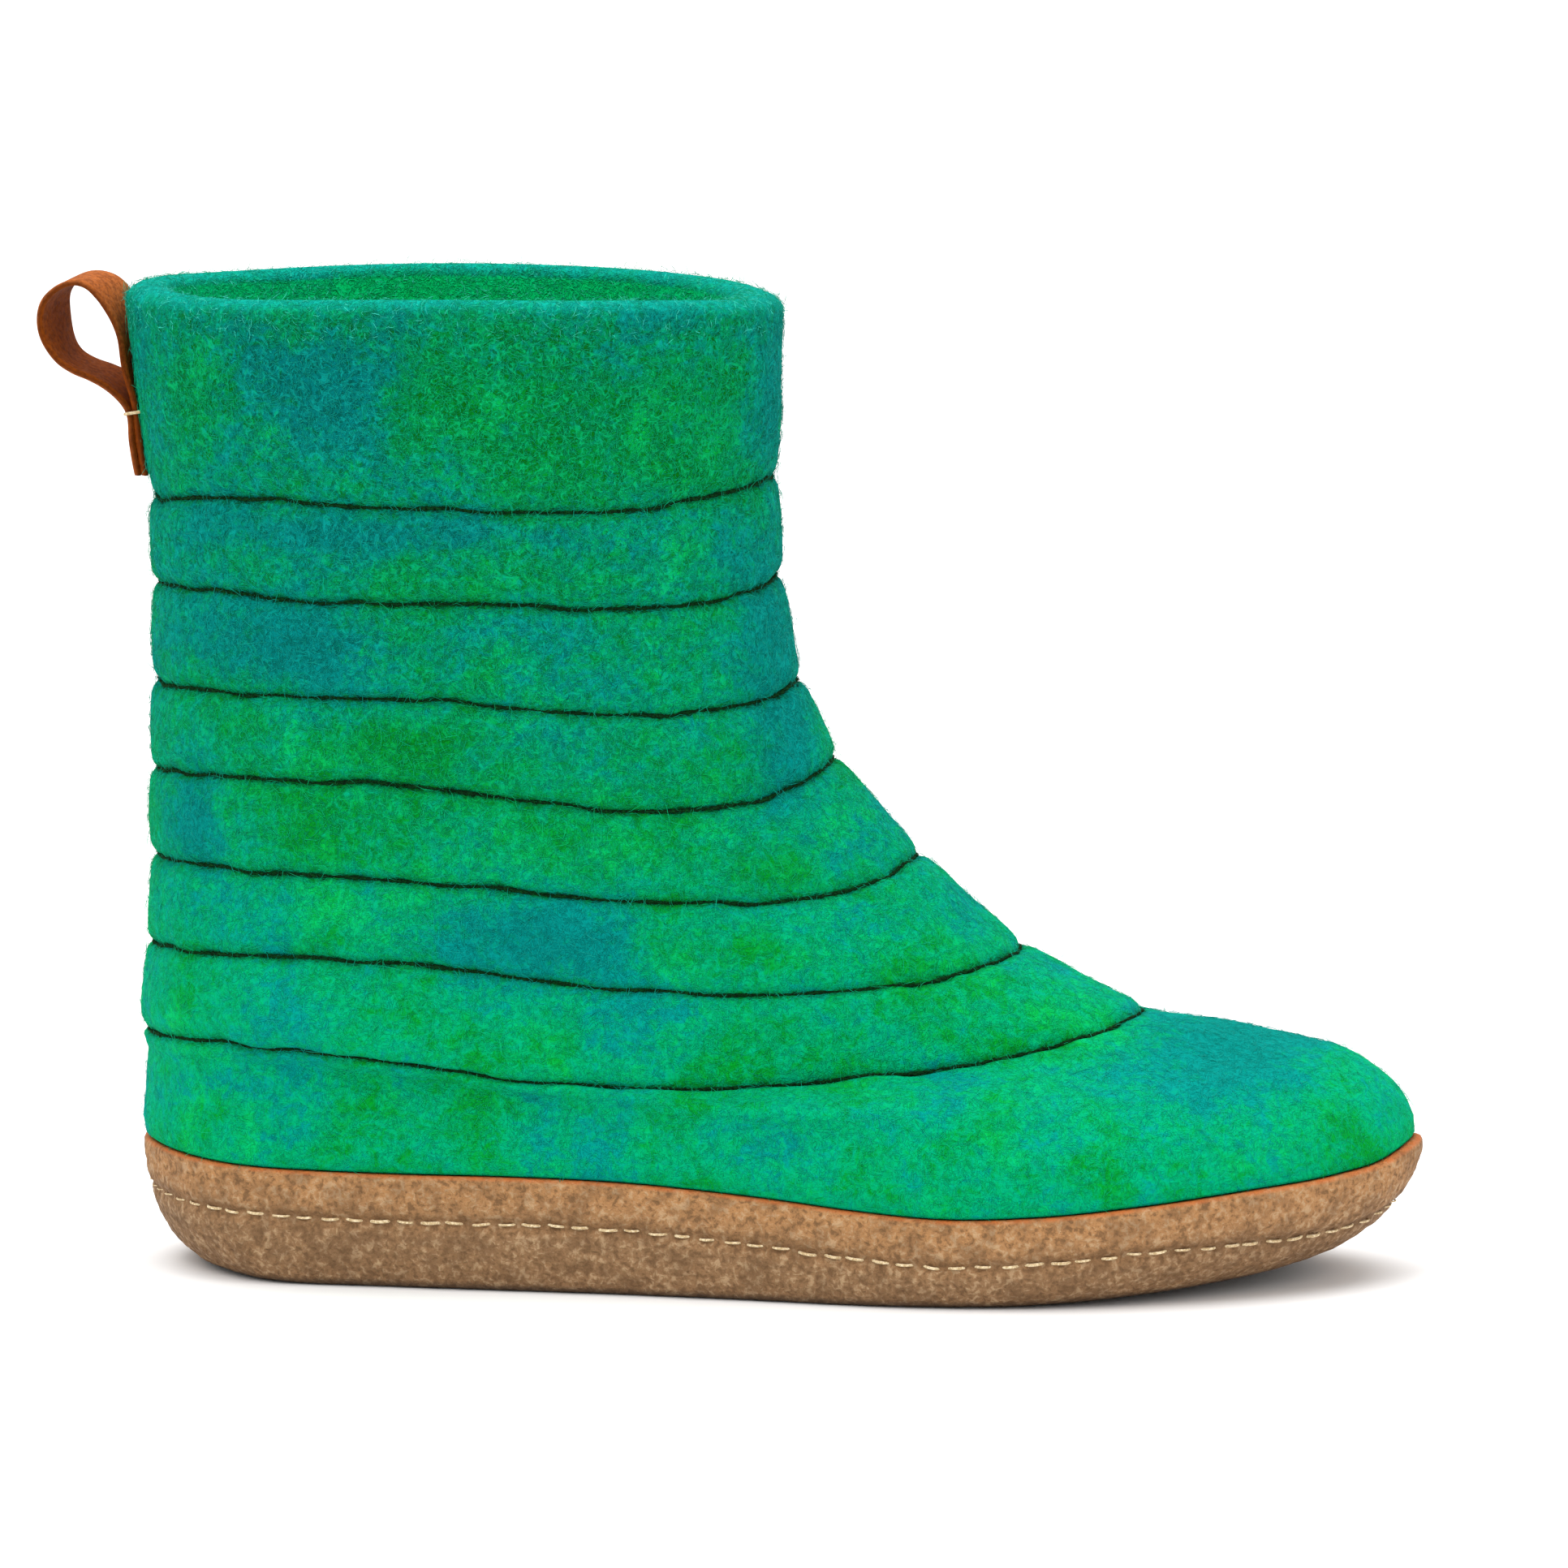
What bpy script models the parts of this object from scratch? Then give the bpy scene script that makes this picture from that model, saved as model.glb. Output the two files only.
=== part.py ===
"""Felt ankle boot for the right foot, standing empty on its sole.

Four sewn and glued pieces: a hollow felt upper with seven sewn-in furrows, a crepe rubber cup
sole, a felt insole and a leather pull loop at the back of the shaft.

Metres. X points from heel to toe, the outer side of the foot is -Y and Z is up. The origin is on
the ground under the middle of the sole's length.

Every surface is a stack of rings. A ring runs once round the boot: turn 0 is the middle of the
heel, a quarter turn is the outer side, half a turn is the toe and three quarters the inner side.
"""
import math

import bpy
import numpy as np

# Driving sizes: the sole
SOLE_LENGTH = 0.266
BALL_WIDTH = 0.098
RIM_HEIGHT = 0.0262
FLOOR_THICKNESS = 0.008
LIP_THICKNESS = 0.0026
LIP_ROUND = 0.0009
TOE_SPRING = 0.006
SPRING_START = 0.048
SPRING_CURVE = 1.6
HEEL_UNDERCUT = 0.018
SIDE_UNDERCUT = 0.009
TOE_UNDERCUT = 0.029
CUP_UNDERCUT_SHARE = 0.36

# Driving sizes: the felt upper
COLLAR_HEIGHT = 0.2045
SHAFT_DEPTH = 0.1333
SHAFT_WIDTH = 0.075
SHAFT_SETBACK = 0.0017
UPPER_THICKNESS = 0.0055
COLLAR_BACK_THICKNESS = 0.009
COLLAR_FRONT_THICKNESS = 0.0105
COLLAR_SIDE_RISE = 0.0020
FURROW_DEPTH = 0.0015
TOE_SETBACK = 0.0022
FEATHER_WIDTH = 0.004

# Driving sizes: insole and pull loop
INSOLE_THICKNESS = 0.0045
INSOLE_ROUND = 0.0008
STRAP_WIDTH = 0.018
STRAP_THICKNESS = 0.0012
LOOP_REACH = 0.0160
LOOP_RISE = 0.026
LOOP_TAIL = 0.0135
LOOP_DROP = 0.0265
LOOP_SEAM_HEIGHT = COLLAR_HEIGHT - LOOP_DROP
LOOP_SIDE_SHIFT = 0.004

# Clearance between pieces that touch in the real boot
CLEARANCE = 0.0003

# Mesh fineness
AROUND = 52
STRAP_STEPS = 40
STRAP_COLUMNS = 4
SHARP_ANGLE = 50

# Each piece's colour and roughness
LOOKS = {
    "upper": ((0.0, 0.42, 0.17), 0.95),
    "sole": ((0.36, 0.21, 0.11), 0.8),
    "insole": ((0.0, 0.30, 0.16), 0.95),
    "pull_loop": ((0.30, 0.10, 0.035), 0.6),
}

# Foot outline in plan: station along the sole from the heel (share of SOLE_LENGTH), fullness
# (half breadth at that station once the round ends are taken out, share of BALL_WIDTH) and sway
# (how far the centre line lies towards the inner side, share of BALL_WIDTH)
FOOT_OUTLINE = {
    "along": (0.00, 0.05, 0.15, 0.30, 0.50, 0.65, 0.75, 0.85, 0.94, 1.00),
    "fullness": (0.690, 0.675, 0.520, 0.428, 0.428, 0.513, 0.568, 0.600, 0.602, 0.600),
    "sway": (0.000, 0.000, 0.000, -0.010, -0.026, -0.018, 0.003, 0.031, 0.056, 0.071),
}

# Top edge of the cup sole: station along the sole and height (share of RIM_HEIGHT)
RIM_LINE = {
    "along": (0.00, 0.05, 0.12, 0.20, 0.30, 0.40, 0.50, 0.58, 0.65, 0.72, 0.80, 0.88, 0.95, 0.98, 1.00),
    "height": (1.01, 0.98, 0.94, 0.925, 0.93, 0.91, 0.84, 0.765, 0.725, 0.75, 0.82, 0.90, 0.96, 1.01, 1.10),
}

# Roundness of the sole's side where it turns under (2 is a quarter ellipse, more is boxier)
ROUNDNESS = {"heel": 2.1, "side": 3.4, "toe": 2.0}
CUP_ROUNDNESS_SHARE = 0.85

# Heights of the sole's and the cup's rings (share of the side's height)
SOLE_SIDE_RINGS = (0.0, 0.03, 0.10, 0.22, 0.38, 0.56, 0.76)
CUP_SIDE_RINGS = (0.0, 0.10, 0.34, 0.66)

# The felt where it leaves the cup and bulges out over the lip, lowest first: distance in from the
# sole's outline and height above the rim (shares of LIP_THICKNESS), setback at the toe (share of
# TOE_SETBACK)
OVERHANG = (
    {"inset": 0.75, "lift": 0.23, "toe": 0.3},
    {"inset": 0.25, "lift": 0.5, "toe": 0.6},
    {"inset": 0.0, "lift": 1.6, "toe": 1.0},
)

# The felt's rings over the foot: gap behind the sole's end at heel and toe (share of SOLE_LENGTH),
# slimming at back, side and front (share of the foot outline's breadth) and height in six even
# steps from heel to toe (share of COLLAR_HEIGHT)
FOOT_RINGS = (
    {"heel": 0.001, "toe": 0.013, "slim": (0.00, 0.00, 0.02),
     "height": (0.176, 0.172, 0.158, 0.148, 0.160, 0.178)},
    {"heel": 0.002, "toe": 0.050, "slim": (0.01, 0.03, 0.12),
     "height": (0.202, 0.206, 0.188, 0.178, 0.203, 0.221)},
    {"heel": 0.003, "toe": 0.118, "slim": (0.03, 0.04, 0.24),
     "height": (0.219, 0.228, 0.207, 0.198, 0.228, 0.242)},
)

# The sewn furrows from the lowest to the highest, then the collar's edge: the ring's back and
# front ends (share of SOLE_LENGTH, from the middle), its fullness at back, side and front (share
# of SHAFT_WIDTH), its sway at the front (share of BALL_WIDTH) and its height in six even steps
# from heel to toe (share of COLLAR_HEIGHT)
FURROWS = (
    {"back": -0.497, "front": 0.282, "full": (0.870, 0.537, 0.650), "sway": 0.035,
     "height": (0.2370, 0.2490, 0.2270, 0.2170, 0.2470, 0.2680)},
    {"back": -0.493, "front": 0.187, "full": (0.790, 0.527, 0.600), "sway": 0.020,
     "height": (0.3290, 0.3375, 0.3340, 0.3080, 0.3160, 0.3300)},
    {"back": -0.4885, "front": 0.106, "full": (0.710, 0.520, 0.555), "sway": 0.010,
     "height": (0.4190, 0.4240, 0.4200, 0.4020, 0.4025, 0.4240)},
    {"back": -0.488, "front": 0.041, "full": (0.640, 0.511, 0.525), "sway": 0.0,
     "height": (0.5080, 0.5150, 0.5180, 0.4970, 0.4960, 0.5220)},
    {"back": -0.4885, "front": 0.0135, "full": (0.585, 0.507, 0.508), "sway": 0.0,
     "height": (0.5970, 0.6000, 0.6045, 0.5935, 0.5885, 0.6020)},
    {"back": -0.487, "front": -0.003, "full": (0.550, 0.503, 0.492), "sway": 0.0,
     "height": (0.6980, 0.7020, 0.7005, 0.6990, 0.6955, 0.7090)},
    {"back": -0.490, "front": -0.006, "full": (0.535, 0.503, 0.485), "sway": 0.0,
     "height": (0.7830, 0.7950, 0.8000, 0.7940, 0.8010, 0.8120)},
)
COLLAR = {"full": (0.535, 0.512, 0.490), "height": (1.0000, 0.9960, 0.9980, 1.0000, 0.9985, 0.9950)}

# Where each kind of band has its rings (share of the band's height): the foot below the furrows,
# the vamp up to the first furrow, a band between two furrows and the top band below the collar
BAND_RINGS = {
    "foot": (0.0, 0.50),
    "vamp": (0.0, 0.40, 0.75, 0.92),
    "furrowed": (0.0, 0.10, 0.28, 0.72, 0.90),
    "top": (0.0, 0.05, 0.14, 0.40, 0.70),
}
# The rings that the smooth inside of the felt follows too
LINING_RINGS = (0.0, 0.40, 0.50)
# How squarely a band swells between its furrows (2 is a plain arch)
BAND_SWELL = 3.5
# The collar's half-round edge, in degrees from the outside over to the inside
COLLAR_EDGE = (40, 90, 140)

# The free part of the pull loop's strap, from the inner strand over the top to the outer strand:
# distance behind the shaft (share of LOOP_REACH) and height above its seam (share of LOOP_RISE)
LOOP_PATH = {
    "out": (0.00, 0.01, 0.03, 0.09, 0.20, 0.35, 0.55, 0.76, 0.93, 1.00, 0.97, 0.86, 0.70, 0.52, 0.36, 0.22),
    "up": (0.25, 0.45, 0.62, 0.78, 0.91, 0.99, 1.02, 0.98, 0.87, 0.69, 0.51, 0.38, 0.31, 0.265, 0.21, 0.13),
}


def smooth(stations, values, at):
    """Smooth curve through (station, value) pairs, read at the given stations."""
    stations = np.asarray(stations, float)
    values = np.asarray(values, float)
    slopes = np.gradient(values, stations)
    at = np.clip(at, stations[0], stations[-1])
    i = np.clip(np.searchsorted(stations, at) - 1, 0, len(stations) - 2)
    step = stations[i + 1] - stations[i]
    t = (at - stations[i]) / step
    start = (1 + 2 * t) * (1 - t) ** 2 * values[i] + t * (1 - t) ** 2 * step * slopes[i]
    end = t * t * (3 - 2 * t) * values[i + 1] + t * t * (t - 1) * step * slopes[i + 1]
    return start + end


def round_the_boot(values, turn):
    """Values given at even steps from heel to toe, carried smoothly round both sides alike."""
    waves = np.arange(len(values))
    steps = np.linspace(0.0, math.pi, len(values))
    weights = np.linalg.solve(np.cos(np.outer(steps, waves)), np.asarray(values, float))
    return np.cos(np.outer(turn, waves)) @ weights


TURN = np.linspace(0.0, 2 * math.pi, AROUND, endpoint=False)
ALONG = (1 - np.cos(TURN)) / 2
# Minus on the outer side of the foot, plus on the inner side
ACROSS = -np.sin(TURN)


def widest():
    """Fullness of the foot outline at its widest place."""
    along = np.linspace(0.0, 1.0, 401)
    fullness = smooth(FOOT_OUTLINE["along"], FOOT_OUTLINE["fullness"], along)
    return (fullness * 2 * np.sqrt(along * (1 - along))).max()


FOOT_SCALE = BALL_WIDTH / 2 / widest()


def ring(x, y, z):
    """One closed ring of points."""
    return np.stack([x, y, z + np.zeros_like(x)], axis=-1)


def foot_plan(heel=0.0, toe=0.0, slim=0.0):
    """The foot outline in plan, shortened at heel and toe and slimmed by a share of its breadth."""
    x = -SOLE_LENGTH / 2 + heel + (SOLE_LENGTH - heel - toe) * ALONG
    full = FOOT_SCALE * smooth(FOOT_OUTLINE["along"], FOOT_OUTLINE["fullness"], ALONG)
    sway = BALL_WIDTH * smooth(FOOT_OUTLINE["along"], FOOT_OUTLINE["sway"], ALONG)
    return x, sway + full * ACROSS * (1 - slim)


def drawn_in(x, y, distance):
    """A plan outline moved inwards by the same distance all round."""
    along = np.stack([np.roll(x, -1) - np.roll(x, 1), np.roll(y, -1) - np.roll(y, 1)])
    along = along / np.hypot(*along)
    return x - along[1] * distance, y + along[0] * distance


def underside(x):
    """Height of the sole's underside: flat from the heel to the ball, then the toe spring."""
    rise = np.clip((x - SPRING_START) / (SOLE_LENGTH / 2 - SPRING_START), 0.0, None)
    return TOE_SPRING * rise ** SPRING_CURVE


def rim_height():
    return RIM_HEIGHT * smooth(RIM_LINE["along"], RIM_LINE["height"], ALONG)


def turn_under(height, roundness):
    """How far a rounded side has turned under at a share of its height: 0 at the top, 1 below."""
    return 1 - (1 - (1 - height) ** roundness) ** (1 / roundness)


def side_plan(height, depth_share, roundness_share):
    """Plan of the rounded side of the sole, or of the cup inside it, at a share of its height."""
    heel = HEEL_UNDERCUT * depth_share * turn_under(height, ROUNDNESS["heel"] * roundness_share)
    side = SIDE_UNDERCUT * depth_share * turn_under(height, ROUNDNESS["side"] * roundness_share)
    toe = TOE_UNDERCUT * depth_share * turn_under(height, ROUNDNESS["toe"] * roundness_share)
    return foot_plan(heel, toe, side / (BALL_WIDTH / 2))


def sole_ring(height):
    """Ring on the outside of the sole."""
    x, y = side_plan(height, 1.0, 1.0)
    low = underside(x)
    return ring(x, y, low + (rim_height() - low) * height)


def cup_ring(height, gap=0.0, inset=0.0):
    """Ring inside the cup of the sole, clear of it by a gap and further in by an inset."""
    x, y = side_plan(height, CUP_UNDERCUT_SHARE, CUP_ROUNDNESS_SHARE)
    x, y = drawn_in(x, y, LIP_THICKNESS + gap + inset)
    low = underside(x) + FLOOR_THICKNESS + gap
    return ring(x, y, low + (rim_height() - low) * height)


def rim_ring(inset, lift, toe=0.0):
    """Ring at the height of the rim, lifted off it and further in by an inset."""
    x, y = drawn_in(*foot_plan(toe=toe), inset)
    return ring(x, y, rim_height() + lift)


def foot_ring(row):
    """Ring of the felt over the foot, still shaped by the foot outline."""
    slim = round_the_boot(row["slim"], TURN)
    x, y = foot_plan(SOLE_LENGTH * row["heel"], SOLE_LENGTH * row["toe"], slim)
    return ring(x, y, COLLAR_HEIGHT * round_the_boot(row["height"], TURN))


def shaft_ring(back, front, full, sway, height):
    """Ring of the felt round the shaft: an oval with its own roundness at back, side and front."""
    x = back + (front - back) * ALONG
    y = SHAFT_WIDTH * round_the_boot(full, TURN) * ACROSS + sway * ALONG ** 2
    return ring(x, y, height)


def furrow_ring(row):
    back = SOLE_LENGTH * row["back"]
    front = back + (row["front"] - row["back"]) * SOLE_LENGTH
    height = COLLAR_HEIGHT * round_the_boot(row["height"], TURN)
    return shaft_ring(back, front, row["full"], BALL_WIDTH * row["sway"], height)


def collar_ring():
    """The collar's outer edge, below its rounded top. It is higher on the outer side."""
    back = -SOLE_LENGTH / 2 - SHAFT_SETBACK
    height = COLLAR_HEIGHT * round_the_boot(COLLAR["height"], TURN) - UPPER_THICKNESS / 2
    height = height + COLLAR_SIDE_RISE * np.clip(-ACROSS, 0.0, None) ** 2
    return shaft_ring(back, back + SHAFT_DEPTH, COLLAR["full"], 0.0, height)


def between(knots, first, share):
    """Points a share of the way from one knot ring to the next, on smooth curves up the boot."""
    def slope(k):
        if k == 0:
            return (knots[1] - knots[0]) / chords[0]
        if k == len(knots) - 1:
            return (knots[-1] - knots[-2]) / chords[-1]
        low = (knots[k] - knots[k - 1]) / chords[k - 1]
        high = (knots[k + 1] - knots[k]) / chords[k]
        return (low * chords[k] + high * chords[k - 1]) / (chords[k] + chords[k - 1])

    chords = [np.linalg.norm(b - a, axis=1, keepdims=True) for a, b in zip(knots, knots[1:])]
    t = share
    step = chords[first]
    start = (1 + 2 * t) * (1 - t) ** 2 * knots[first] + t * (1 - t) ** 2 * step * slope(first)
    end = t * t * (3 - 2 * t) * knots[first + 1] + t * t * (t - 1) * step * slope(first + 1)
    return start + end


def outward(rings):
    """Unit normals of a stack of rings that runs up the boot."""
    round_about = np.roll(rings, -1, axis=1) - np.roll(rings, 1, axis=1)
    upward = np.gradient(rings, axis=0)
    normals = np.cross(round_about, upward)
    return normals / np.linalg.norm(normals, axis=2, keepdims=True)


def swelling(kind, share):
    """How far a band stands out, as a share of the furrow's depth."""
    if kind == "foot":
        return 0.0
    if kind == "vamp":
        return share * (1 - share ** BAND_SWELL)
    if kind == "top":
        return 1 - (1 - min(share * 2, 1.0)) ** BAND_SWELL
    return 1 - abs(2 * share - 1) ** BAND_SWELL


def sinking(kind, share):
    """How far the knot rings lie below the felt's full thickness, as a share of the same depth."""
    return {"foot": 0.0, "vamp": share}.get(kind, 1.0)


def felt_wall(rise):
    """Thickness of the felt round the boot. It is folded over itself at the back and the front of
    the shaft, more so the higher it goes (rise is 0 at the sole and 1 at the collar)."""
    back = (COLLAR_BACK_THICKNESS - UPPER_THICKNESS) * np.clip(np.cos(TURN), 0.0, None) ** 3
    front = (COLLAR_FRONT_THICKNESS - UPPER_THICKNESS) * np.clip(-np.cos(TURN), 0.0, None) ** 3
    return UPPER_THICKNESS + (back + front) * rise ** 2


def upper_rings():
    """Rings of the upper, up the outside first, then over the collar's edge and down the inside."""
    feather = [cup_ring(height, CLEARANCE) for height in CUP_SIDE_RINGS]
    overhang = [rim_ring(LIP_THICKNESS + CLEARANCE, 0.0)]
    for row in OVERHANG:
        inset, lift = LIP_THICKNESS * row["inset"], LIP_THICKNESS * row["lift"]
        overhang.append(rim_ring(inset, lift, TOE_SETBACK * row["toe"]))
    knots = [overhang.pop()]
    knots += [foot_ring(row) for row in FOOT_RINGS]
    knots += [furrow_ring(row) for row in FURROWS]
    knots.append(collar_ring())

    kinds = ["foot"] * len(FOOT_RINGS) + ["vamp"] + ["furrowed"] * (len(FURROWS) - 1) + ["top"]
    rows = [(k, kind, share) for k, kind in enumerate(kinds) for share in BAND_RINGS[kind]]
    outside = np.array([between(knots, k, share) for k, kind, share in rows] + [knots[-1]])
    swell = np.array([swelling(kind, share) for k, kind, share in rows] + [1.0])
    sunk = np.array([sinking(kind, share) for k, kind, share in rows] + [1.0])
    lined = [share in LINING_RINGS for k, kind, share in rows] + [True]

    normals = outward(np.concatenate([feather, overhang, outside]))
    felt_normals = normals[len(feather) + len(overhang):]
    raised = outside + felt_normals * (FURROW_DEPTH * swell)[:, None, None]
    rise = [(k + share) / len(kinds) for k, kind, share in rows] + [1.0]
    wall = np.array([felt_wall(level) for level in rise]) - FURROW_DEPTH * sunk[:, None]
    inside = (outside - felt_normals * wall[..., None])[lined]

    # The collar's edge is half a round
    top = raised[-1]
    into = inside[-1] - top
    edge = []
    for angle in np.radians(COLLAR_EDGE):
        crest = top + into * (1 - math.cos(angle)) / 2
        crest[:, 2] += UPPER_THICKNESS / 2 * math.sin(angle)
        edge.append(crest)

    # The feather edge stays flat on the floor, and the wall stands up from it
    inner_cup = [cup_ring(0.0, CLEARANCE, FEATHER_WIDTH)]
    for k in range(2, len(feather)):
        inner_cup.append(feather[k] - normals[k] * UPPER_THICKNESS)
    return feather + overhang + list(raised), edge + list(inside[::-1]) + inner_cup[::-1]


def sole_rings():
    """Outer rings from the underside to the rim, then the lip and the inside of the cup."""
    outer = [sole_ring(height) for height in SOLE_SIDE_RINGS]
    outer.append(rim_ring(0.0, -LIP_ROUND))
    lip = [rim_ring(LIP_ROUND, 0.0), rim_ring(LIP_THICKNESS, 0.0)]
    cup = [cup_ring(height) for height in CUP_SIDE_RINGS]
    return outer + lip + cup[::-1]


def insole_rings():
    """The insole lies on the cup's floor inside the feather edge of the upper."""
    rings = []
    for height in (0.0, INSOLE_ROUND, INSOLE_THICKNESS - INSOLE_ROUND, INSOLE_THICKNESS):
        rounded = INSOLE_ROUND if height in (0.0, INSOLE_THICKNESS) else 0.0
        level = cup_ring(0.0, CLEARANCE, FEATHER_WIDTH + CLEARANCE + rounded)
        level[:, 2] += height
        rings.append(level)
    return rings


def add_object(name, points, faces):
    """Adds one piece with its own material."""
    colour, roughness = LOOKS[name]
    mesh = bpy.data.meshes.new(name)
    mesh.from_pydata([tuple(p) for p in points], [], faces)
    mesh.update()
    material = bpy.data.materials.new(name)
    material.use_nodes = True
    shader = material.node_tree.nodes["Principled BSDF"]
    shader.inputs["Base Color"].default_value = (*colour, 1.0)
    shader.inputs["Roughness"].default_value = roughness
    shader.inputs["Metallic"].default_value = 0.0
    mesh.materials.append(material)
    mesh.shade_smooth()
    mesh.set_sharp_from_angle(angle=math.radians(SHARP_ANGLE))
    piece = bpy.data.objects.new(name, mesh)
    bpy.context.scene.collection.objects.link(piece)
    return piece


def skin(rings, closed):
    """Faces between neighbouring rings; a closed stack also joins its last ring to its first."""
    count = len(rings)
    faces = []
    for k in range(count if closed else count - 1):
        a = k * AROUND
        b = (k + 1) % count * AROUND
        for i in range(AROUND):
            j = (i + 1) % AROUND
            faces.append((a + i, a + j, b + j, b + i))
    return faces


def cap(first, faces_up):
    """Flat or gently sprung cap across a ring: strips from one side of the foot to the other."""
    faces = []
    half = AROUND // 2
    for i in range(half):
        strip = [first + i, first + i + 1, first + (AROUND - i - 1) % AROUND, first + (AROUND - i) % AROUND]
        strip = list(dict.fromkeys(strip))
        faces.append(tuple(strip if faces_up else strip[::-1]))
    return faces


def build_upper(rings):
    add_object("upper", np.concatenate(rings), skin(rings, closed=True))


def build_capped(name, rings):
    """Adds a stack of rings with its lowest and last rings capped."""
    last = (len(rings) - 1) * AROUND
    faces = skin(rings, closed=False) + cap(0, faces_up=False) + cap(last, faces_up=True)
    add_object(name, np.concatenate(rings), faces)


def shaft_back(outside, z, y):
    """The back of the felt shaft where the loop sits: x at a height and a distance across."""
    back_line = np.array([felt_ring[0] for felt_ring in outside])
    low, high = FURROWS[-1]["full"][0], COLLAR["full"][0]
    breadth = SHAFT_WIDTH * (low + high) / 2
    depth = SHAFT_DEPTH / 2
    rounding = depth * (1 - math.sqrt(1 - (y / breadth) ** 2))
    return float(np.interp(z, back_line[:, 2], back_line[:, 0])) + rounding


def loop_centre_line():
    """Strap's centre line: distance behind the shaft, height and how closely it follows the felt."""
    inner = CLEARANCE + STRAP_THICKNESS / 2
    outer = inner + STRAP_THICKNESS + CLEARANCE
    out = [inner, inner]
    up = [-LOOP_TAIL, -LOOP_TAIL / 2]
    path = zip(LOOP_PATH["out"], LOOP_PATH["up"])
    for share_out, share_up in [(0.0, 0.0)] + list(path):
        out.append(inner + share_out * LOOP_REACH)
        up.append(share_up * LOOP_RISE)
    out += [outer, outer, outer]
    up += [0.0, -LOOP_TAIL / 2, -LOOP_TAIL]
    spaced = np.concatenate([[0.0], np.cumsum(np.hypot(np.diff(out), np.diff(up)))])
    at = np.linspace(0.0, spaced[-1], STRAP_STEPS)
    return smooth(spaced, out, at), smooth(spaced, up, at)


def build_pull_loop(outside):
    """A strap folded over itself, sewn flat to the shaft below and standing off it above."""
    out, up = loop_centre_line()
    run_out = np.gradient(out)
    run_up = np.gradient(up)
    length = np.hypot(run_out, run_up)
    across = np.linspace(-STRAP_WIDTH / 2, STRAP_WIDTH / 2, STRAP_COLUMNS + 1)
    left, right = LOOP_SIDE_SHIFT + across[0], LOOP_SIDE_SHIFT + across[-1]
    sections = []
    for k in range(STRAP_STEPS):
        # The strap follows the round of the shaft at its seam and is straight across when free
        free = min(max(up[k] / (LOOP_RISE / 2), 0.0), 1.0)
        free = free * free * (3 - 2 * free)
        section = []
        for side in (1, -1):
            for y in across[::side]:
                shift = side * STRAP_THICKNESS / 2
                z = LOOP_SEAM_HEIGHT + up[k] + shift * run_out[k] / length[k]
                behind = out[k] - shift * run_up[k] / length[k]
                seat = shaft_back(outside, z, LOOP_SIDE_SHIFT)
                lean = shaft_back(outside, z, right) - shaft_back(outside, z, left)
                straight = seat + lean * y / STRAP_WIDTH
                hugging = shaft_back(outside, z, LOOP_SIDE_SHIFT + y)
                back = hugging + (straight - hugging) * free
                section.append((back - behind, LOOP_SIDE_SHIFT + y, z))
        sections.append(section)
    points = np.array(sections).reshape(-1, 3)
    width = len(sections[0])
    faces = [tuple(reversed(range(width)))]
    for k in range(STRAP_STEPS - 1):
        for i in range(width):
            j = (i + 1) % width
            faces.append((k * width + i, k * width + j, (k + 1) * width + j, (k + 1) * width + i))
    last = (STRAP_STEPS - 1) * width
    faces.append(tuple(last + i for i in range(width)))
    add_object("pull_loop", points, faces)


def main():
    for old in list(bpy.data.objects):
        bpy.data.objects.remove(old, do_unlink=True)
    outside, inside = upper_rings()
    build_upper(outside + inside)
    build_capped("sole", sole_rings())
    build_capped("insole", insole_rings())
    build_pull_loop(outside)


main()
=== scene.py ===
"""Looks of the felt ankle boot: wool felt, sewing yarn, crepe rubber, leather loop and loose hairs."""
import math

import bpy
import numpy as np
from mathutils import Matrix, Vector, noise


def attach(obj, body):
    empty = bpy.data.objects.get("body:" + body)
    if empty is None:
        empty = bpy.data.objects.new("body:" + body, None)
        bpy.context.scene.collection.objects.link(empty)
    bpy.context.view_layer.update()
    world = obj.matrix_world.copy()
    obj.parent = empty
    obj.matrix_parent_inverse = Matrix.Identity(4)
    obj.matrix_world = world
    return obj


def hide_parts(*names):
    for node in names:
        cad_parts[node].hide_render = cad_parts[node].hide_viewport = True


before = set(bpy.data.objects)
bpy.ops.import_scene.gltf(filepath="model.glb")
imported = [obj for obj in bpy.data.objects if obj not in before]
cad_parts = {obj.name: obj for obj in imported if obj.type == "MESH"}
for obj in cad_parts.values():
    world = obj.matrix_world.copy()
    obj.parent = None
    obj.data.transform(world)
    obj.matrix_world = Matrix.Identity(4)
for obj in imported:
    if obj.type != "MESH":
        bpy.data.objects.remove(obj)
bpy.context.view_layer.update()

# The boot's own sizes, in metres: the sole
SOLE_LENGTH = 0.266
BALL_WIDTH = 0.098
RIM_HEIGHT = 0.0262
FLOOR_THICKNESS = 0.008
LIP_THICKNESS = 0.0026
LIP_ROUND = 0.0009
TOE_SPRING = 0.006
SPRING_START = 0.048
SPRING_CURVE = 1.6
HEEL_UNDERCUT = 0.018
SIDE_UNDERCUT = 0.009
TOE_UNDERCUT = 0.029
CUP_UNDERCUT_SHARE = 0.36

# The felt upper
COLLAR_HEIGHT = 0.2045
SHAFT_DEPTH = 0.1333
SHAFT_WIDTH = 0.075
SHAFT_SETBACK = 0.0017
UPPER_THICKNESS = 0.0055
COLLAR_BACK_THICKNESS = 0.009
COLLAR_FRONT_THICKNESS = 0.0105
COLLAR_SIDE_RISE = 0.0020
FURROW_DEPTH = 0.0015
TOE_SETBACK = 0.0022
FEATHER_WIDTH = 0.004

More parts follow.
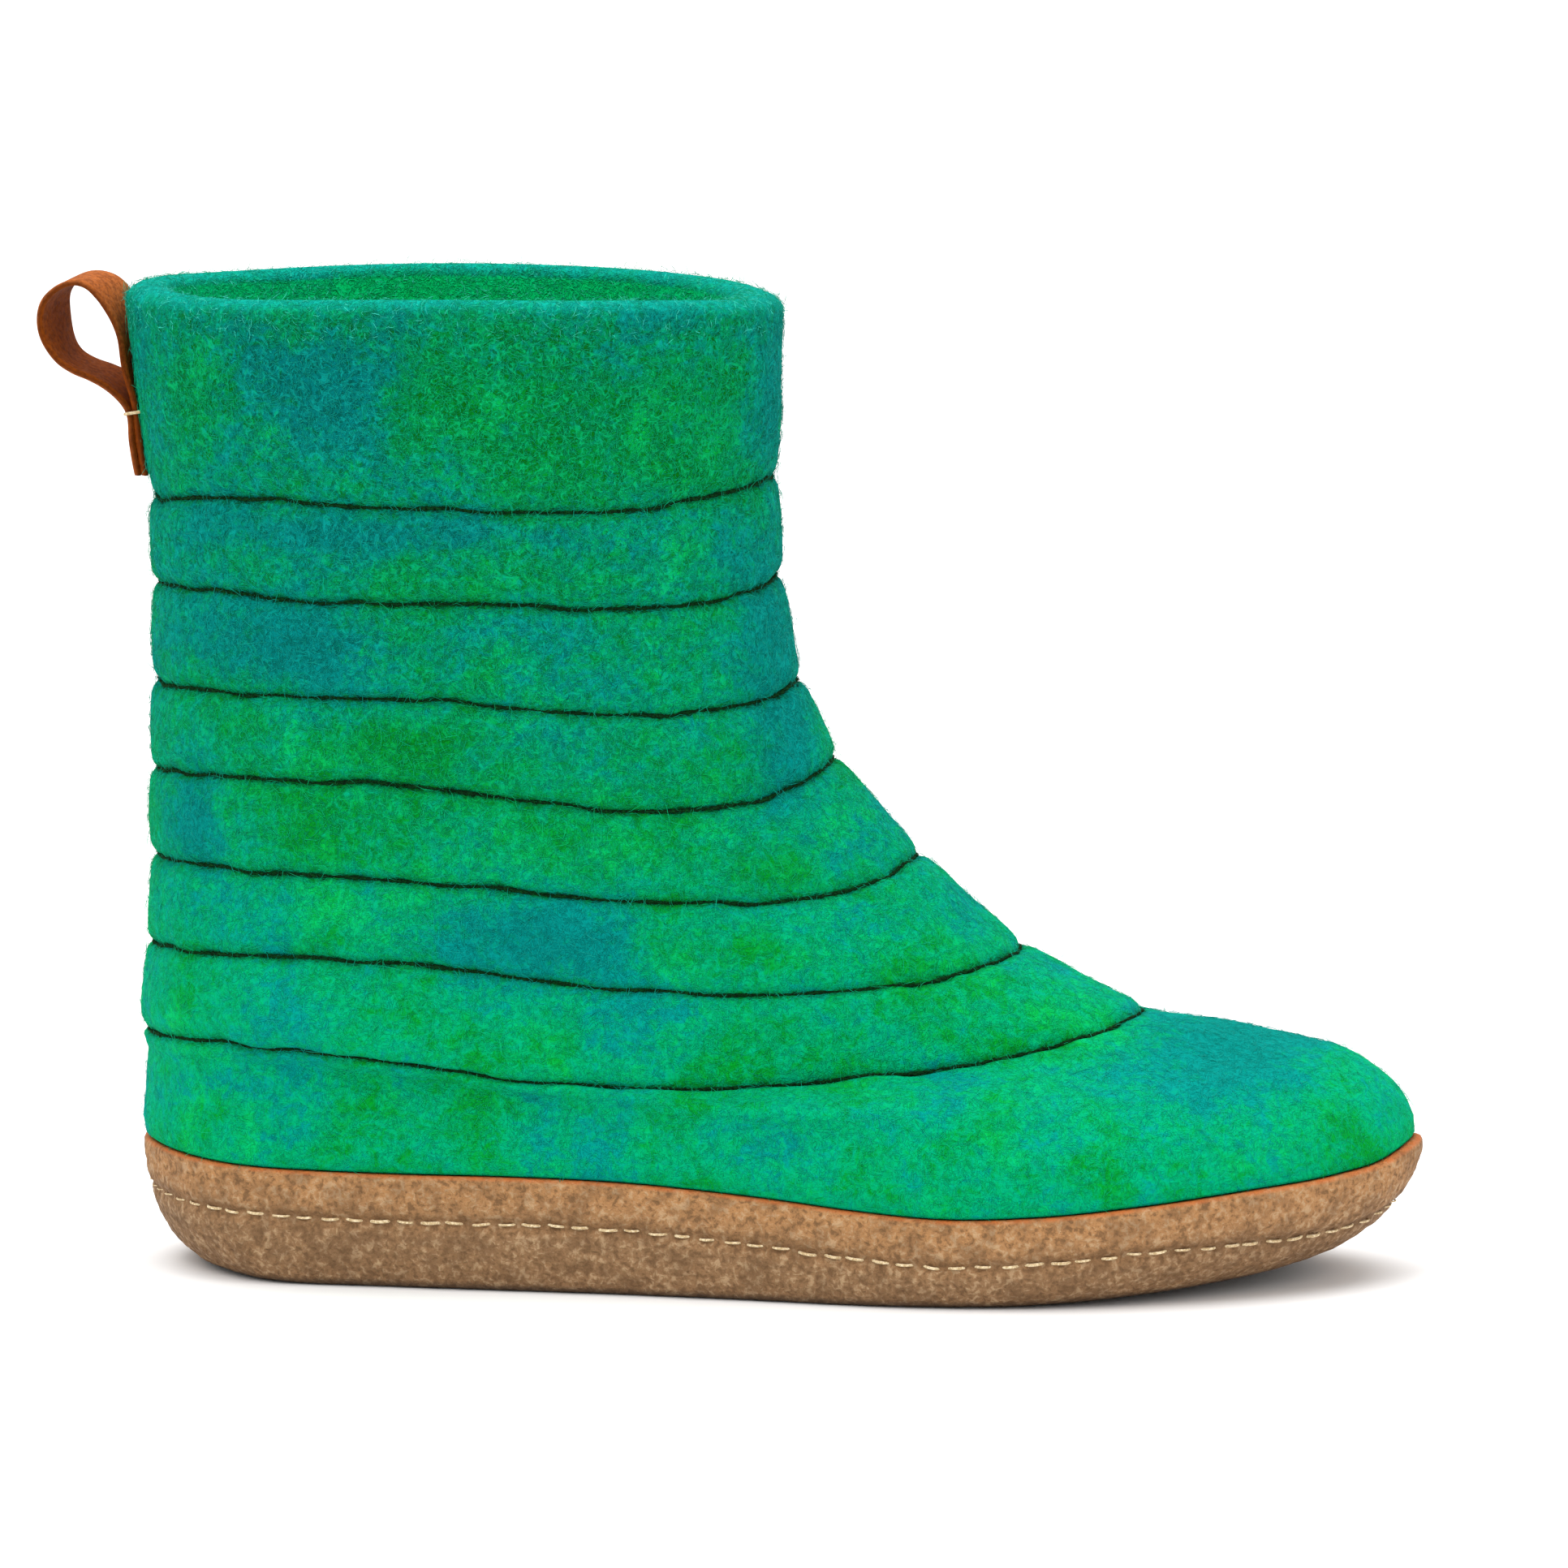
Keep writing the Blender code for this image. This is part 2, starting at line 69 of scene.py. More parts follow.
# Insole and pull loop
INSOLE_THICKNESS = 0.0045
INSOLE_ROUND = 0.0008
STRAP_WIDTH = 0.018
STRAP_THICKNESS = 0.0012
LOOP_REACH = 0.0160
LOOP_RISE = 0.026
LOOP_TAIL = 0.0135
LOOP_DROP = 0.0265
LOOP_SEAM_HEIGHT = COLLAR_HEIGHT - LOOP_DROP
LOOP_SIDE_SHIFT = 0.004
CLEARANCE = 0.0003

# The two-ply yarn in the furrows, with its lumps
PLY_RADIUS = 0.00026
PLY_OFFSET = 0.00019
YARN_TWIST = 0.0032
YARN_STEP = 0.0008
YARN_SINK = 0.00005
YARN_SIDES = 6
YARN_LUMPS = {"size": 0.0032, "share": 0.75, "least": 0.5, "most": 1.6}

# The line of stitches round the sole, in a channel: how far it lies below the rim, and how much
# further at the toe, from a station along the sole
CHANNEL_DEPTH = 0.00080
CHANNEL_WIDTH = 0.0012
STITCH_DROP = 0.0098
STITCH_SINK_START = 0.80
STITCH_SINK_AT_TOE = 0.0036
LINE_ROWS = 80
LINE_STEP = 0.0005

# One stitch: its arch out of the rubber (share of STITCH_DIP), where its middle lies in the channel,
# its chance moves and sizes, and where it gets thinner near the sole's ends
STITCH_PITCH = 0.0053
STITCH_LENGTH = 0.0043
STITCH_RADIUS = 0.00031
STITCH_ARCH = (-1.0, -0.62, -0.05, 0.34, 0.46, 0.46, 0.34, -0.05, -0.62, -1.0)
STITCH_DIP = 0.0008
STITCH_BED = CHANNEL_DEPTH * 0.6
STITCH_WANDER = {"along": 0.00025, "tilt": 0.0003, "up": 0.00010}
STITCH_CHANCE = {"length": (0.85, 1.12), "radius": (0.8, 1.15)}
STITCH_FADE = 0.014
STITCH_LEAST = 0.4

# The loop's thread
THREAD_RADIUS = 0.00034
THREAD_SIDES = 8
LOOP_STITCH_DROP = 0.0005

# The crepe's pebbles, the rings of its side and where its colour changes
SIDE_TOP = 0.94
SIDE_RINGS = 44
SIDE_CROWDING = 1.8
PEBBLES = ({"height": 0.00022, "size": 0.0021}, {"height": 0.00025, "size": 0.009})
PEBBLE_FADE = 0.0020
EDGE_TINT = 0.0007
# How far up from the underside the painted contact shadow, which also stands for dirt, reaches
GROUND_TINT = 0.0013

# Waves given to a noise, as Blender's fractal noise takes them
NOISE_SMOOTHNESS = 0.8
NOISE_STEP = 2.0
NOISE_LEVELS = 2

# Felt relief and loose hairs
SEAM_WOBBLE = 0.00022
SEAM_WAVES = (7, 13, 22, 31)
SEAM_WAVE_SHIFT = 1.7
SEAM_GROOVE = 0.0007
SEAM_GROOVE_WIDTH = 0.0010
PUCKER_DEPTH = 0.00028
PUCKER_REACH = 0.0035
PUCKERS = 38
PUCKER_WANDER = {"amount": 3, "waves": 5}
LONG_PUCKER_SHARE = 0.6
LEAST_RELIEF = 0.2
LUMP_HEIGHT = 0.00060
LUMP_SIZE = 0.022
NAP_HEIGHT = 0.00016
NAP_SIZE = 0.0035
CREST_NAP_SHARE = 0.4
# How far below the collar's top its teal fuzz and painted highlight reach
CREST_TINT = 0.0019
SHAFT_START = 0.045
SEAM_TINT = 0.0013
YARN_HAIRS = 7000
FOOT_HAIR_SHARE = 0.15
HAIR_SIDES = 3
HAIR_RADIUS = 0.000042
HAIR_POINTS = 4
HAIRS_IN_A_PIECE = 14500
FIRST_HAIRY_RING = 6
FIRST_STANDING_RING = 10

# Hairs that lie on the felt, pale ones on the collar's crest and ones that stand off the boot: how
# many, curl (radians in a metre), mean length, lift off the felt (radians) and how much paler
HAIR_KINDS = (
    {"count": 31000, "curl": 330, "length": 0.0036, "lift": 0.03, "tone": 0.0},
    {"count": 8000, "curl": 420, "length": 0.0016, "lift": 0.28, "tone": 0.42},
    {"count": 3000, "curl": 260, "length": 0.0022, "lift": 0.6, "tone": 0.12},
)

# The chance in a hair: its length (how even, and its least and most), its lift and radius, all as
# shares of the mean, the spread of its tone, and its arch and kinks in metres
HAIR_CHANCE = {"evenness": 6.0, "length": (0.4, 2.2), "lift": (0.2, 1.2), "radius": (0.7, 1.3)}
HAIR_TONE_SPREAD = 0.75
HAIR_ARCH = 0.00014
HAIR_KINK = 0.00007

# Hairs that the yarn sheds: how far they spread beside it and stand off it (share of PLY_RADIUS),
# how far they turn from its way (radians), their lengths and their kinks
YARN_HAIR = {"spread": 1.8, "stand": 1.6, "turn": 0.30, "length": (0.0010, 0.0030), "kink": 0.00009}

# The wool's clouds of colour, and how far clouds and tufts swing between teal and olive
CLOUD_SIZE = 0.022
CLOUD_TINT = 2.8
TUFT_TINT = 2.6

# Mesh fineness, and how upright a tube runs before its sides are squared to the X axis
STEEP = 0.8
FELT_AROUND = 400
SOLE_AROUND = 832
INSOLE_AROUND = 104
STRAP_STEPS = 150
STRAP_COLUMNS = 18

# Foot outline in plan: station along the sole from the heel (share of SOLE_LENGTH), fullness
# (half breadth at that station once the round ends are taken out, share of BALL_WIDTH) and sway
# (how far the centre line lies towards the inner side, share of BALL_WIDTH)
FOOT_OUTLINE = {
    "along": (0.00, 0.05, 0.15, 0.30, 0.50, 0.65, 0.75, 0.85, 0.94, 1.00),
    "fullness": (0.690, 0.675, 0.520, 0.428, 0.428, 0.513, 0.568, 0.600, 0.602, 0.600),
    "sway": (0.000, 0.000, 0.000, -0.010, -0.026, -0.018, 0.003, 0.031, 0.056, 0.071),
}

# Top edge of the cup sole: station along the sole and height (share of RIM_HEIGHT)
RIM_LINE = {
    "along": (0.00, 0.05, 0.12, 0.20, 0.30, 0.40, 0.50, 0.58, 0.65, 0.72, 0.80, 0.88, 0.95, 0.98, 1.00),
    "height": (1.01, 0.98, 0.94, 0.925, 0.93, 0.91, 0.84, 0.765, 0.725, 0.75, 0.82, 0.90, 0.96, 1.01, 1.10),
}

# Roundness of the sole's side where it turns under (2 is a quarter ellipse, more is boxier)
ROUNDNESS = {"heel": 2.1, "side": 3.4, "toe": 2.0}
CUP_ROUNDNESS_SHARE = 0.85
CUP_SIDE_RINGS = (0.0, 0.10, 0.34, 0.66)

# The felt where it leaves the cup and bulges out over the lip, lowest first: distance in from the
# sole's outline and height above the rim (shares of LIP_THICKNESS), setback at the toe (share of
# TOE_SETBACK). It lies closer on the lip than in the CAD.
OVERHANG = (
    {"inset": 0.50, "lift": 0.10, "toe": 0.3},
    {"inset": 0.12, "lift": 0.36, "toe": 0.6},
    {"inset": -0.10, "lift": 1.6, "toe": 1.0},
)

# The felt's rings over the foot: gap behind the sole's end at heel and toe (share of SOLE_LENGTH),
# slimming at back, side and front (share of the foot outline's breadth) and height in six even
# steps from heel to toe (share of COLLAR_HEIGHT)
FOOT_RINGS = (
    {"heel": 0.001, "toe": 0.013, "slim": (0.00, 0.00, 0.02),
     "height": (0.176, 0.172, 0.158, 0.148, 0.160, 0.178)},
    {"heel": 0.002, "toe": 0.050, "slim": (0.01, 0.03, 0.12),
     "height": (0.202, 0.206, 0.188, 0.178, 0.203, 0.221)},
    {"heel": 0.003, "toe": 0.118, "slim": (0.03, 0.04, 0.24),
     "height": (0.219, 0.228, 0.207, 0.198, 0.228, 0.242)},
)

# The sewn furrows from the lowest to the highest, then the collar's edge: the ring's back and
# front ends (share of SOLE_LENGTH, from the middle), its fullness at back, side and front (share
# of SHAFT_WIDTH), its sway at the front (share of BALL_WIDTH) and its height in six even steps
# from heel to toe (share of COLLAR_HEIGHT)
FURROWS = (
    {"back": -0.497, "front": 0.282, "full": (0.870, 0.537, 0.650), "sway": 0.035,
     "height": (0.2370, 0.2490, 0.2270, 0.2170, 0.2470, 0.2680)},
    {"back": -0.493, "front": 0.187, "full": (0.790, 0.527, 0.600), "sway": 0.020,
     "height": (0.3290, 0.3375, 0.3340, 0.3080, 0.3160, 0.3300)},
    {"back": -0.4885, "front": 0.106, "full": (0.710, 0.520, 0.555), "sway": 0.010,
     "height": (0.4190, 0.4240, 0.4200, 0.4020, 0.4025, 0.4240)},
    {"back": -0.488, "front": 0.041, "full": (0.640, 0.511, 0.525), "sway": 0.0,
     "height": (0.5080, 0.5150, 0.5180, 0.4970, 0.4960, 0.5220)},
    {"back": -0.4885, "front": 0.0135, "full": (0.585, 0.507, 0.508), "sway": 0.0,
     "height": (0.5970, 0.6000, 0.6045, 0.5935, 0.5885, 0.6020)},
    {"back": -0.487, "front": -0.003, "full": (0.550, 0.503, 0.492), "sway": 0.0,
     "height": (0.6980, 0.7020, 0.7005, 0.6990, 0.6955, 0.7090)},
    {"back": -0.490, "front": -0.006, "full": (0.535, 0.503, 0.485), "sway": 0.0,
     "height": (0.7830, 0.7950, 0.8000, 0.7940, 0.8010, 0.8120)},
)
COLLAR = {"full": (0.535, 0.512, 0.490), "height": (1.0000, 0.9960, 0.9980, 1.0000, 0.9985, 0.9950)}

# How squarely a band swells between its furrows (2 is a plain arch)
BAND_SWELL = 3.5

# How many rings each kind of band gets outside and inside
BAND_RINGS = {"foot": 7, "vamp": 18, "furrowed": 20, "top": 22}
LINING_RINGS = 3
# How much closer together the rings are beside the furrows (0 is even)
CROWDING = {"foot": 0.0, "vamp": 0.65, "furrowed": 0.55, "top": 0.6}
# The collar's half-round edge, in degrees from the outside over to the inside
COLLAR_EDGE = (15, 38, 64, 90, 116, 142, 165)

# The free part of the pull loop's strap, from the inner strand over the top to the outer strand:
# distance behind the shaft (share of LOOP_REACH) and height above its seam (share of LOOP_RISE)
LOOP_PATH = {
    "out": (0.00, 0.01, 0.03, 0.09, 0.20, 0.35, 0.55, 0.76, 0.93, 1.00, 0.97, 0.86, 0.70, 0.52, 0.36, 0.22),
    "up": (0.25, 0.45, 0.62, 0.78, 0.91, 0.99, 1.02, 0.98, 0.87, 0.69, 0.51, 0.38, 0.31, 0.265, 0.21, 0.13),
}

# The loop's stitch round an edge of the strap, from its outer face into the felt: distance in from
# the edge and depth in front of the seam, in metres
LOOP_STITCH = {
    "inwards": (0.0040, 0.0022, 0.0009, 0.0001, -0.00032, -0.00034, -0.00036, -0.0005, -0.0007),
    "depth": (0.0006, 0.0, 0.0, 0.0001, 0.00055, 0.0016, 0.0026, 0.0033, 0.0044),
}
STITCH_TILT = 0.0003

# The calm felt under the strap: half its breadth and height (shares of the strap's) and how square
# it is (an even number, 2 is round)
LOOP_BED = {"across": 0.7, "up": 0.75, "squareness": 6}

# The strap's edge: how much closer its points are there, how far in its rounding reaches (share of
# half the width) and how thick its very edge is (share of the thickness)
STRAP_EDGE = {"crowding": 0.35, "round": 0.07, "least": 0.25}

# The strap's looseness where it is free: ripples along and across it, and how much narrower it is
STRAP_RIPPLE = {"height": 0.0004, "along": 0.21, "across": 1.5}
STRAP_NARROWING = 0.03
TAIL_GAP_FILLED = 0.8

# Where the strap is worn pale (a share of its length from its inner end on, and how much where it
# lies on the felt) and where its cut edges are dark (shares of half the width)
STRAP_WEAR = {"start": 0.16, "grows_over": 0.2, "lying": 0.35}
STRAP_CUT = {"start": 0.93, "grows_over": 0.05, "darkness": 0.7}

# Lamps with their place, size in metres and power in watts, and the light from all round
LAMPS = (
    {"name": "key", "place": (-0.9, -1.6, 1.9), "size": 1.4, "power": 26},
    {"name": "fill", "place": (1.6, -1.2, 1.1), "size": 1.4, "power": 9},
    {"name": "top", "place": (0.0, 0.5, 2.6), "size": 3.0, "power": 75},
)
LAMP_TARGET = (0, 0, 0.08)
WORLD_STRENGTH = 0.80
FLOOR_SIZE = 20
FLOOR_PLACE = (0, 5, 0)

# The photograph's view: degrees round from the side and up, distance, lens and what it looks at
CAMERA = {"azimuth": 6.5, "elevation": 8.8, "distance": 4.5, "lens": 498.9, "target": (0.0007, 0.0, 0.1015)}
SENSOR_WIDTH = 36
CLIP_END = 60

# Patches of other wool in the green, listed one by one: x and z of the middle, half length and half
# height, the side of the boot it shows on (-1 outer, 1 inner, 0 both), how teal (1) or olive (-1)
# it is and how much darker than the felt round it
WOOL_PATCHES = (
    (-0.094, 0.188, 0.018, 0.013, -1, 0.7, 0.50),
    (-0.082, 0.158, 0.030, 0.005, -1, 0.7, 0.30),
    (-0.099, 0.134, 0.022, 0.008, -1, 0.6, 0.42),
    (-0.053, 0.138, 0.017, 0.005, -1, 0.5, 0.05),
    (-0.120, 0.096, 0.006, 0.010, 0, 0.6, 0.35),
    (-0.046, 0.073, 0.022, 0.008, -1, 0.65, 0.38),
    (-0.023, 0.062, 0.034, 0.006, -1, 0.4, 0.05),
    (0.001, 0.118, 0.007, 0.017, 0, 0.7, 0.30),
    (0.095, 0.050, 0.018, 0.008, 0, 1.0, 0.35),
    (-0.001, 0.183, 0.006, 0.025, 0, 0.7, 0.10),
    (-0.111, 0.043, 0.012, 0.005, 0, 0.4, 0.05),
    (0.000, 0.142, 0.006, 0.012, 0, 0.6, 0.15),
    (0.022, 0.096, 0.012, 0.008, 0, 0.6, 0.10),
    (0.043, 0.077, 0.012, 0.007, 0, 0.5, 0.05),
    (-0.040, 0.182, 0.030, 0.016, -1, -0.6, 0.15),
    (-0.017, 0.171, 0.008, 0.005, -1, -0.9, 0.25),
    (-0.120, 0.184, 0.006, 0.015, 0, -0.6, 0.20),
    (-0.074, 0.114, 0.014, 0.006, -1, -1.0, 0.25),
    (-0.091, 0.095, 0.019, 0.010, -1, -0.7, 0.05),
    (0.002, 0.088, 0.008, 0.006, -1, -0.7, 0.10),
    (0.002, 0.072, 0.020, 0.005, -1, -0.4, 0.0),
    (0.028, 0.064, 0.014, 0.005, -1, -0.3, 0.0),
    (-0.050, 0.165, 0.028, 0.014, 1, 0.8, 0.35),
    (-0.085, 0.085, 0.026, 0.014, 1, 0.8, 0.35),
    (0.030, 0.050, 0.026, 0.009, 1, 0.8, 0.30),
    (-0.020, 0.115, 0.018, 0.010, 1, -0.8, 0.15),
    (-0.100, 0.140, 0.020, 0.010, 1, -0.7, 0.10),
    (-0.030, 0.060, 0.026, 0.008, 1, -0.6, 0.05),
)

rng = np.random.default_rng(7)


class Round:
    """Steps once round the boot: turn 0 is the heel, a quarter the outer side, half the toe."""

    def __init__(self, count):
        self.count = count
        self.turn = np.linspace(0.0, 2 * math.pi, count, endpoint=False)
        self.along = (1 - np.cos(self.turn)) / 2
        self.across = -np.sin(self.turn)


def smooth(stations, values, at):
    """Smooth curve through (station, value) pairs, read at the given stations."""
    stations = np.asarray(stations, float)
    values = np.asarray(values, float)
    slopes = np.gradient(values, stations)
    at = np.clip(at, stations[0], stations[-1])
    i = np.clip(np.searchsorted(stations, at) - 1, 0, len(stations) - 2)
    step = stations[i + 1] - stations[i]
    t = (at - stations[i]) / step
    start = (1 + 2 * t) * (1 - t) ** 2 * values[i] + t * (1 - t) ** 2 * step * slopes[i]
    end = t * t * (3 - 2 * t) * values[i + 1] + t * t * (t - 1) * step * slopes[i + 1]
    return start + end


def round_the_boot(values, turn):
    """Values given at even steps from heel to toe, carried smoothly round both sides alike."""
    waves = np.arange(len(values))
    steps = np.linspace(0.0, math.pi, len(values))
    weights = np.linalg.solve(np.cos(np.outer(steps, waves)), np.asarray(values, float))
    return np.cos(np.outer(turn, waves)) @ weights


def widest():
    """Fullness of the foot outline at its widest place."""
    along = np.linspace(0.0, 1.0, 401)
    fullness = smooth(FOOT_OUTLINE["along"], FOOT_OUTLINE["fullness"], along)
    return (fullness * 2 * np.sqrt(along * (1 - along))).max()


FOOT_SCALE = BALL_WIDTH / 2 / widest()


def ring(x, y, z):
    """One closed ring of points."""
    return np.stack([x, y, z + np.zeros_like(x)], axis=-1)


def foot_plan(way, heel=0.0, toe=0.0, slim=0.0):
    """The foot outline in plan, shortened at heel and toe and slimmed by a share of its breadth."""
    x = -SOLE_LENGTH / 2 + heel + (SOLE_LENGTH - heel - toe) * way.along
    full = FOOT_SCALE * smooth(FOOT_OUTLINE["along"], FOOT_OUTLINE["fullness"], way.along)
    sway = BALL_WIDTH * smooth(FOOT_OUTLINE["along"], FOOT_OUTLINE["sway"], way.along)
    return x, sway + full * way.across * (1 - slim)


def drawn_in(x, y, distance):
    """A plan outline moved inwards by the same distance all round."""
    along = np.stack([np.roll(x, -1) - np.roll(x, 1), np.roll(y, -1) - np.roll(y, 1)])
    along = along / np.hypot(*along)
    return x - along[1] * distance, y + along[0] * distance


def underside(x):
    """Height of the sole's underside: flat from the heel to the ball, then the toe spring."""
    rise = np.clip((x - SPRING_START) / (SOLE_LENGTH / 2 - SPRING_START), 0.0, None)
    return TOE_SPRING * rise ** SPRING_CURVE


def rim_height(way):
    return RIM_HEIGHT * smooth(RIM_LINE["along"], RIM_LINE["height"], way.along)


def stitch_drop(way):
    """How far the sole's stitches lie below the rim: further down towards the toe."""
    share = np.clip((way.along - STITCH_SINK_START) / (1 - STITCH_SINK_START), 0.0, 1.0)
    return STITCH_DROP + STITCH_SINK_AT_TOE * share


def turn_under(height, roundness):
    """How far a rounded side has turned under at a share of its height: 0 at the top, 1 below."""
    return 1 - (1 - (1 - height) ** roundness) ** (1 / roundness)


def side_plan(way, height, depth_share, roundness_share):
    """Plan of the rounded side of the sole, or of the cup inside it, at a share of its height."""
    heel = HEEL_UNDERCUT * depth_share * turn_under(height, ROUNDNESS["heel"] * roundness_share)
    side = SIDE_UNDERCUT * depth_share * turn_under(height, ROUNDNESS["side"] * roundness_share)
    toe = TOE_UNDERCUT * depth_share * turn_under(height, ROUNDNESS["toe"] * roundness_share)
    return foot_plan(way, heel, toe, side / (BALL_WIDTH / 2))


def sole_ring(way, height):
    """Ring on the outside of the sole."""
    x, y = side_plan(way, height, 1.0, 1.0)
    low = underside(x)
    return ring(x, y, low + (rim_height(way) - low) * height)


def cup_ring(way, height, gap=0.0, inset=0.0):
    """Ring inside the cup of the sole, clear of it by a gap and further in by an inset."""
    x, y = side_plan(way, height, CUP_UNDERCUT_SHARE, CUP_ROUNDNESS_SHARE)
    x, y = drawn_in(x, y, LIP_THICKNESS + gap + inset)
    low = underside(x) + FLOOR_THICKNESS + gap
    return ring(x, y, low + (rim_height(way) - low) * height)


def rim_ring(way, inset, lift, toe=0.0):
    """Ring at the height of the rim, lifted off it and further in by an inset."""
    x, y = drawn_in(*foot_plan(way, toe=toe), inset)
    return ring(x, y, rim_height(way) + lift)


def foot_ring(way, row):
    """Ring of the felt over the foot, still shaped by the foot outline."""
    slim = round_the_boot(row["slim"], way.turn)
    x, y = foot_plan(way, SOLE_LENGTH * row["heel"], SOLE_LENGTH * row["toe"], slim)
    return ring(x, y, COLLAR_HEIGHT * round_the_boot(row["height"], way.turn))


def shaft_ring(way, back, front, full, sway, height):
    """Ring of the felt round the shaft: an oval with its own roundness at back, side and front."""
    x = back + (front - back) * way.along
    y = SHAFT_WIDTH * round_the_boot(full, way.turn) * way.across + sway * way.along ** 2
    return ring(x, y, height)


def wobble(way, number):
    """The small wander of a hand-sewn furrow, up and down, round the boot."""
    wander = np.zeros(way.count)
    for wave in SEAM_WAVES:
        shift = number * wave * SEAM_WAVE_SHIFT
        wander += np.sin(wave * way.turn + shift) * SEAM_WOBBLE / math.sqrt(wave / SEAM_WAVES[0])
    return wander


def furrow_ring(way, number):
    row = FURROWS[number]
    back, front = SOLE_LENGTH * row["back"], SOLE_LENGTH * row["front"]
    height = COLLAR_HEIGHT * round_the_boot(row["height"], way.turn) + wobble(way, number)
    return shaft_ring(way, back, front, row["full"], BALL_WIDTH * row["sway"], height)


def collar_ring(way):
    """The collar's outer edge, below its rounded top. It is higher on the outer side."""
    back = -SOLE_LENGTH / 2 - SHAFT_SETBACK
    height = COLLAR_HEIGHT * round_the_boot(COLLAR["height"], way.turn) - UPPER_THICKNESS / 2
    height = height + COLLAR_SIDE_RISE * np.clip(-way.across, 0.0, None) ** 2
    return shaft_ring(way, back, back + SHAFT_DEPTH, COLLAR["full"], 0.0, height)


def between(knots, first, share):
    """Points a share of the way from one knot ring to the next, on smooth curves up the boot."""
    def slope(k):
        if k == 0:
            return (knots[1] - knots[0]) / chords[0]
        if k == len(knots) - 1:
            return (knots[-1] - knots[-2]) / chords[-1]
        low = (knots[k] - knots[k - 1]) / chords[k - 1]
        high = (knots[k + 1] - knots[k]) / chords[k]
        return (low * chords[k] + high * chords[k - 1]) / (chords[k] + chords[k - 1])

    chords = [np.linalg.norm(b - a, axis=1, keepdims=True) for a, b in zip(knots, knots[1:])]
    t = share
    step = chords[first]
    start = (1 + 2 * t) * (1 - t) ** 2 * knots[first] + t * (1 - t) ** 2 * step * slope(first)
    end = t * t * (3 - 2 * t) * knots[first + 1] + t * t * (t - 1) * step * slope(first + 1)
    return start + end


def outward(rings):
    """Unit normals of a stack of rings that runs up the boot."""
    round_about = np.roll(rings, -1, axis=1) - np.roll(rings, 1, axis=1)
    upward = np.gradient(rings, axis=0)
    normals = np.cross(round_about, upward)
    return normals / np.linalg.norm(normals, axis=2, keepdims=True)


def swelling(kind, share):
    """How far a band stands out, as a share of the furrow's depth."""
    if kind == "foot":
        return 0.0
    if kind == "vamp":
        return share * (1 - share ** BAND_SWELL)
    if kind == "top":
        return 1 - (1 - min(share * 2, 1.0)) ** BAND_SWELL
    return 1 - abs(2 * share - 1) ** BAND_SWELL


def sinking(kind, share):
    """How far the knot rings lie below the felt's full thickness, as a share of the same depth."""
    return {"foot": 0.0, "vamp": share}.get(kind, 1.0)


def felt_wall(way, rise):
    """Thickness of the felt round the boot. It is folded over itself at the back and the front of
    the shaft, more so the higher it goes (rise is 0 at the sole and 1 at the collar)."""
    back = (COLLAR_BACK_THICKNESS - UPPER_THICKNESS) * np.clip(np.cos(way.turn), 0.0, None) ** 3
    front = (COLLAR_FRONT_THICKNESS - UPPER_THICKNESS) * np.clip(-np.cos(way.turn), 0.0, None) ** 3
    return UPPER_THICKNESS + (back + front) * rise ** 2


def band_shares(kind):
    """Where a band has its rings: closer together beside the furrows."""
    even = np.arange(BAND_RINGS[kind]) / BAND_RINGS[kind]
    crowded = {
        "foot": even,
        "vamp": np.sin(even * math.pi / 2),
        "furrowed": (1 - np.cos(even * math.pi)) / 2,
        "top": 1 - np.cos(even * math.pi / 2),
    }
    return (1 - CROWDING[kind]) * even + CROWDING[kind] * crowded[kind]


def field(points, size):
    """Smooth noise from about -1 to 1 at each point, with lumps of the given size."""
    flat = points.reshape(-1, 3) / size
    values = [noise.fractal(Vector(p), NOISE_SMOOTHNESS, NOISE_STEP, NOISE_LEVELS) for p in flat]
    return np.array(values).reshape(points.shape[:-1])


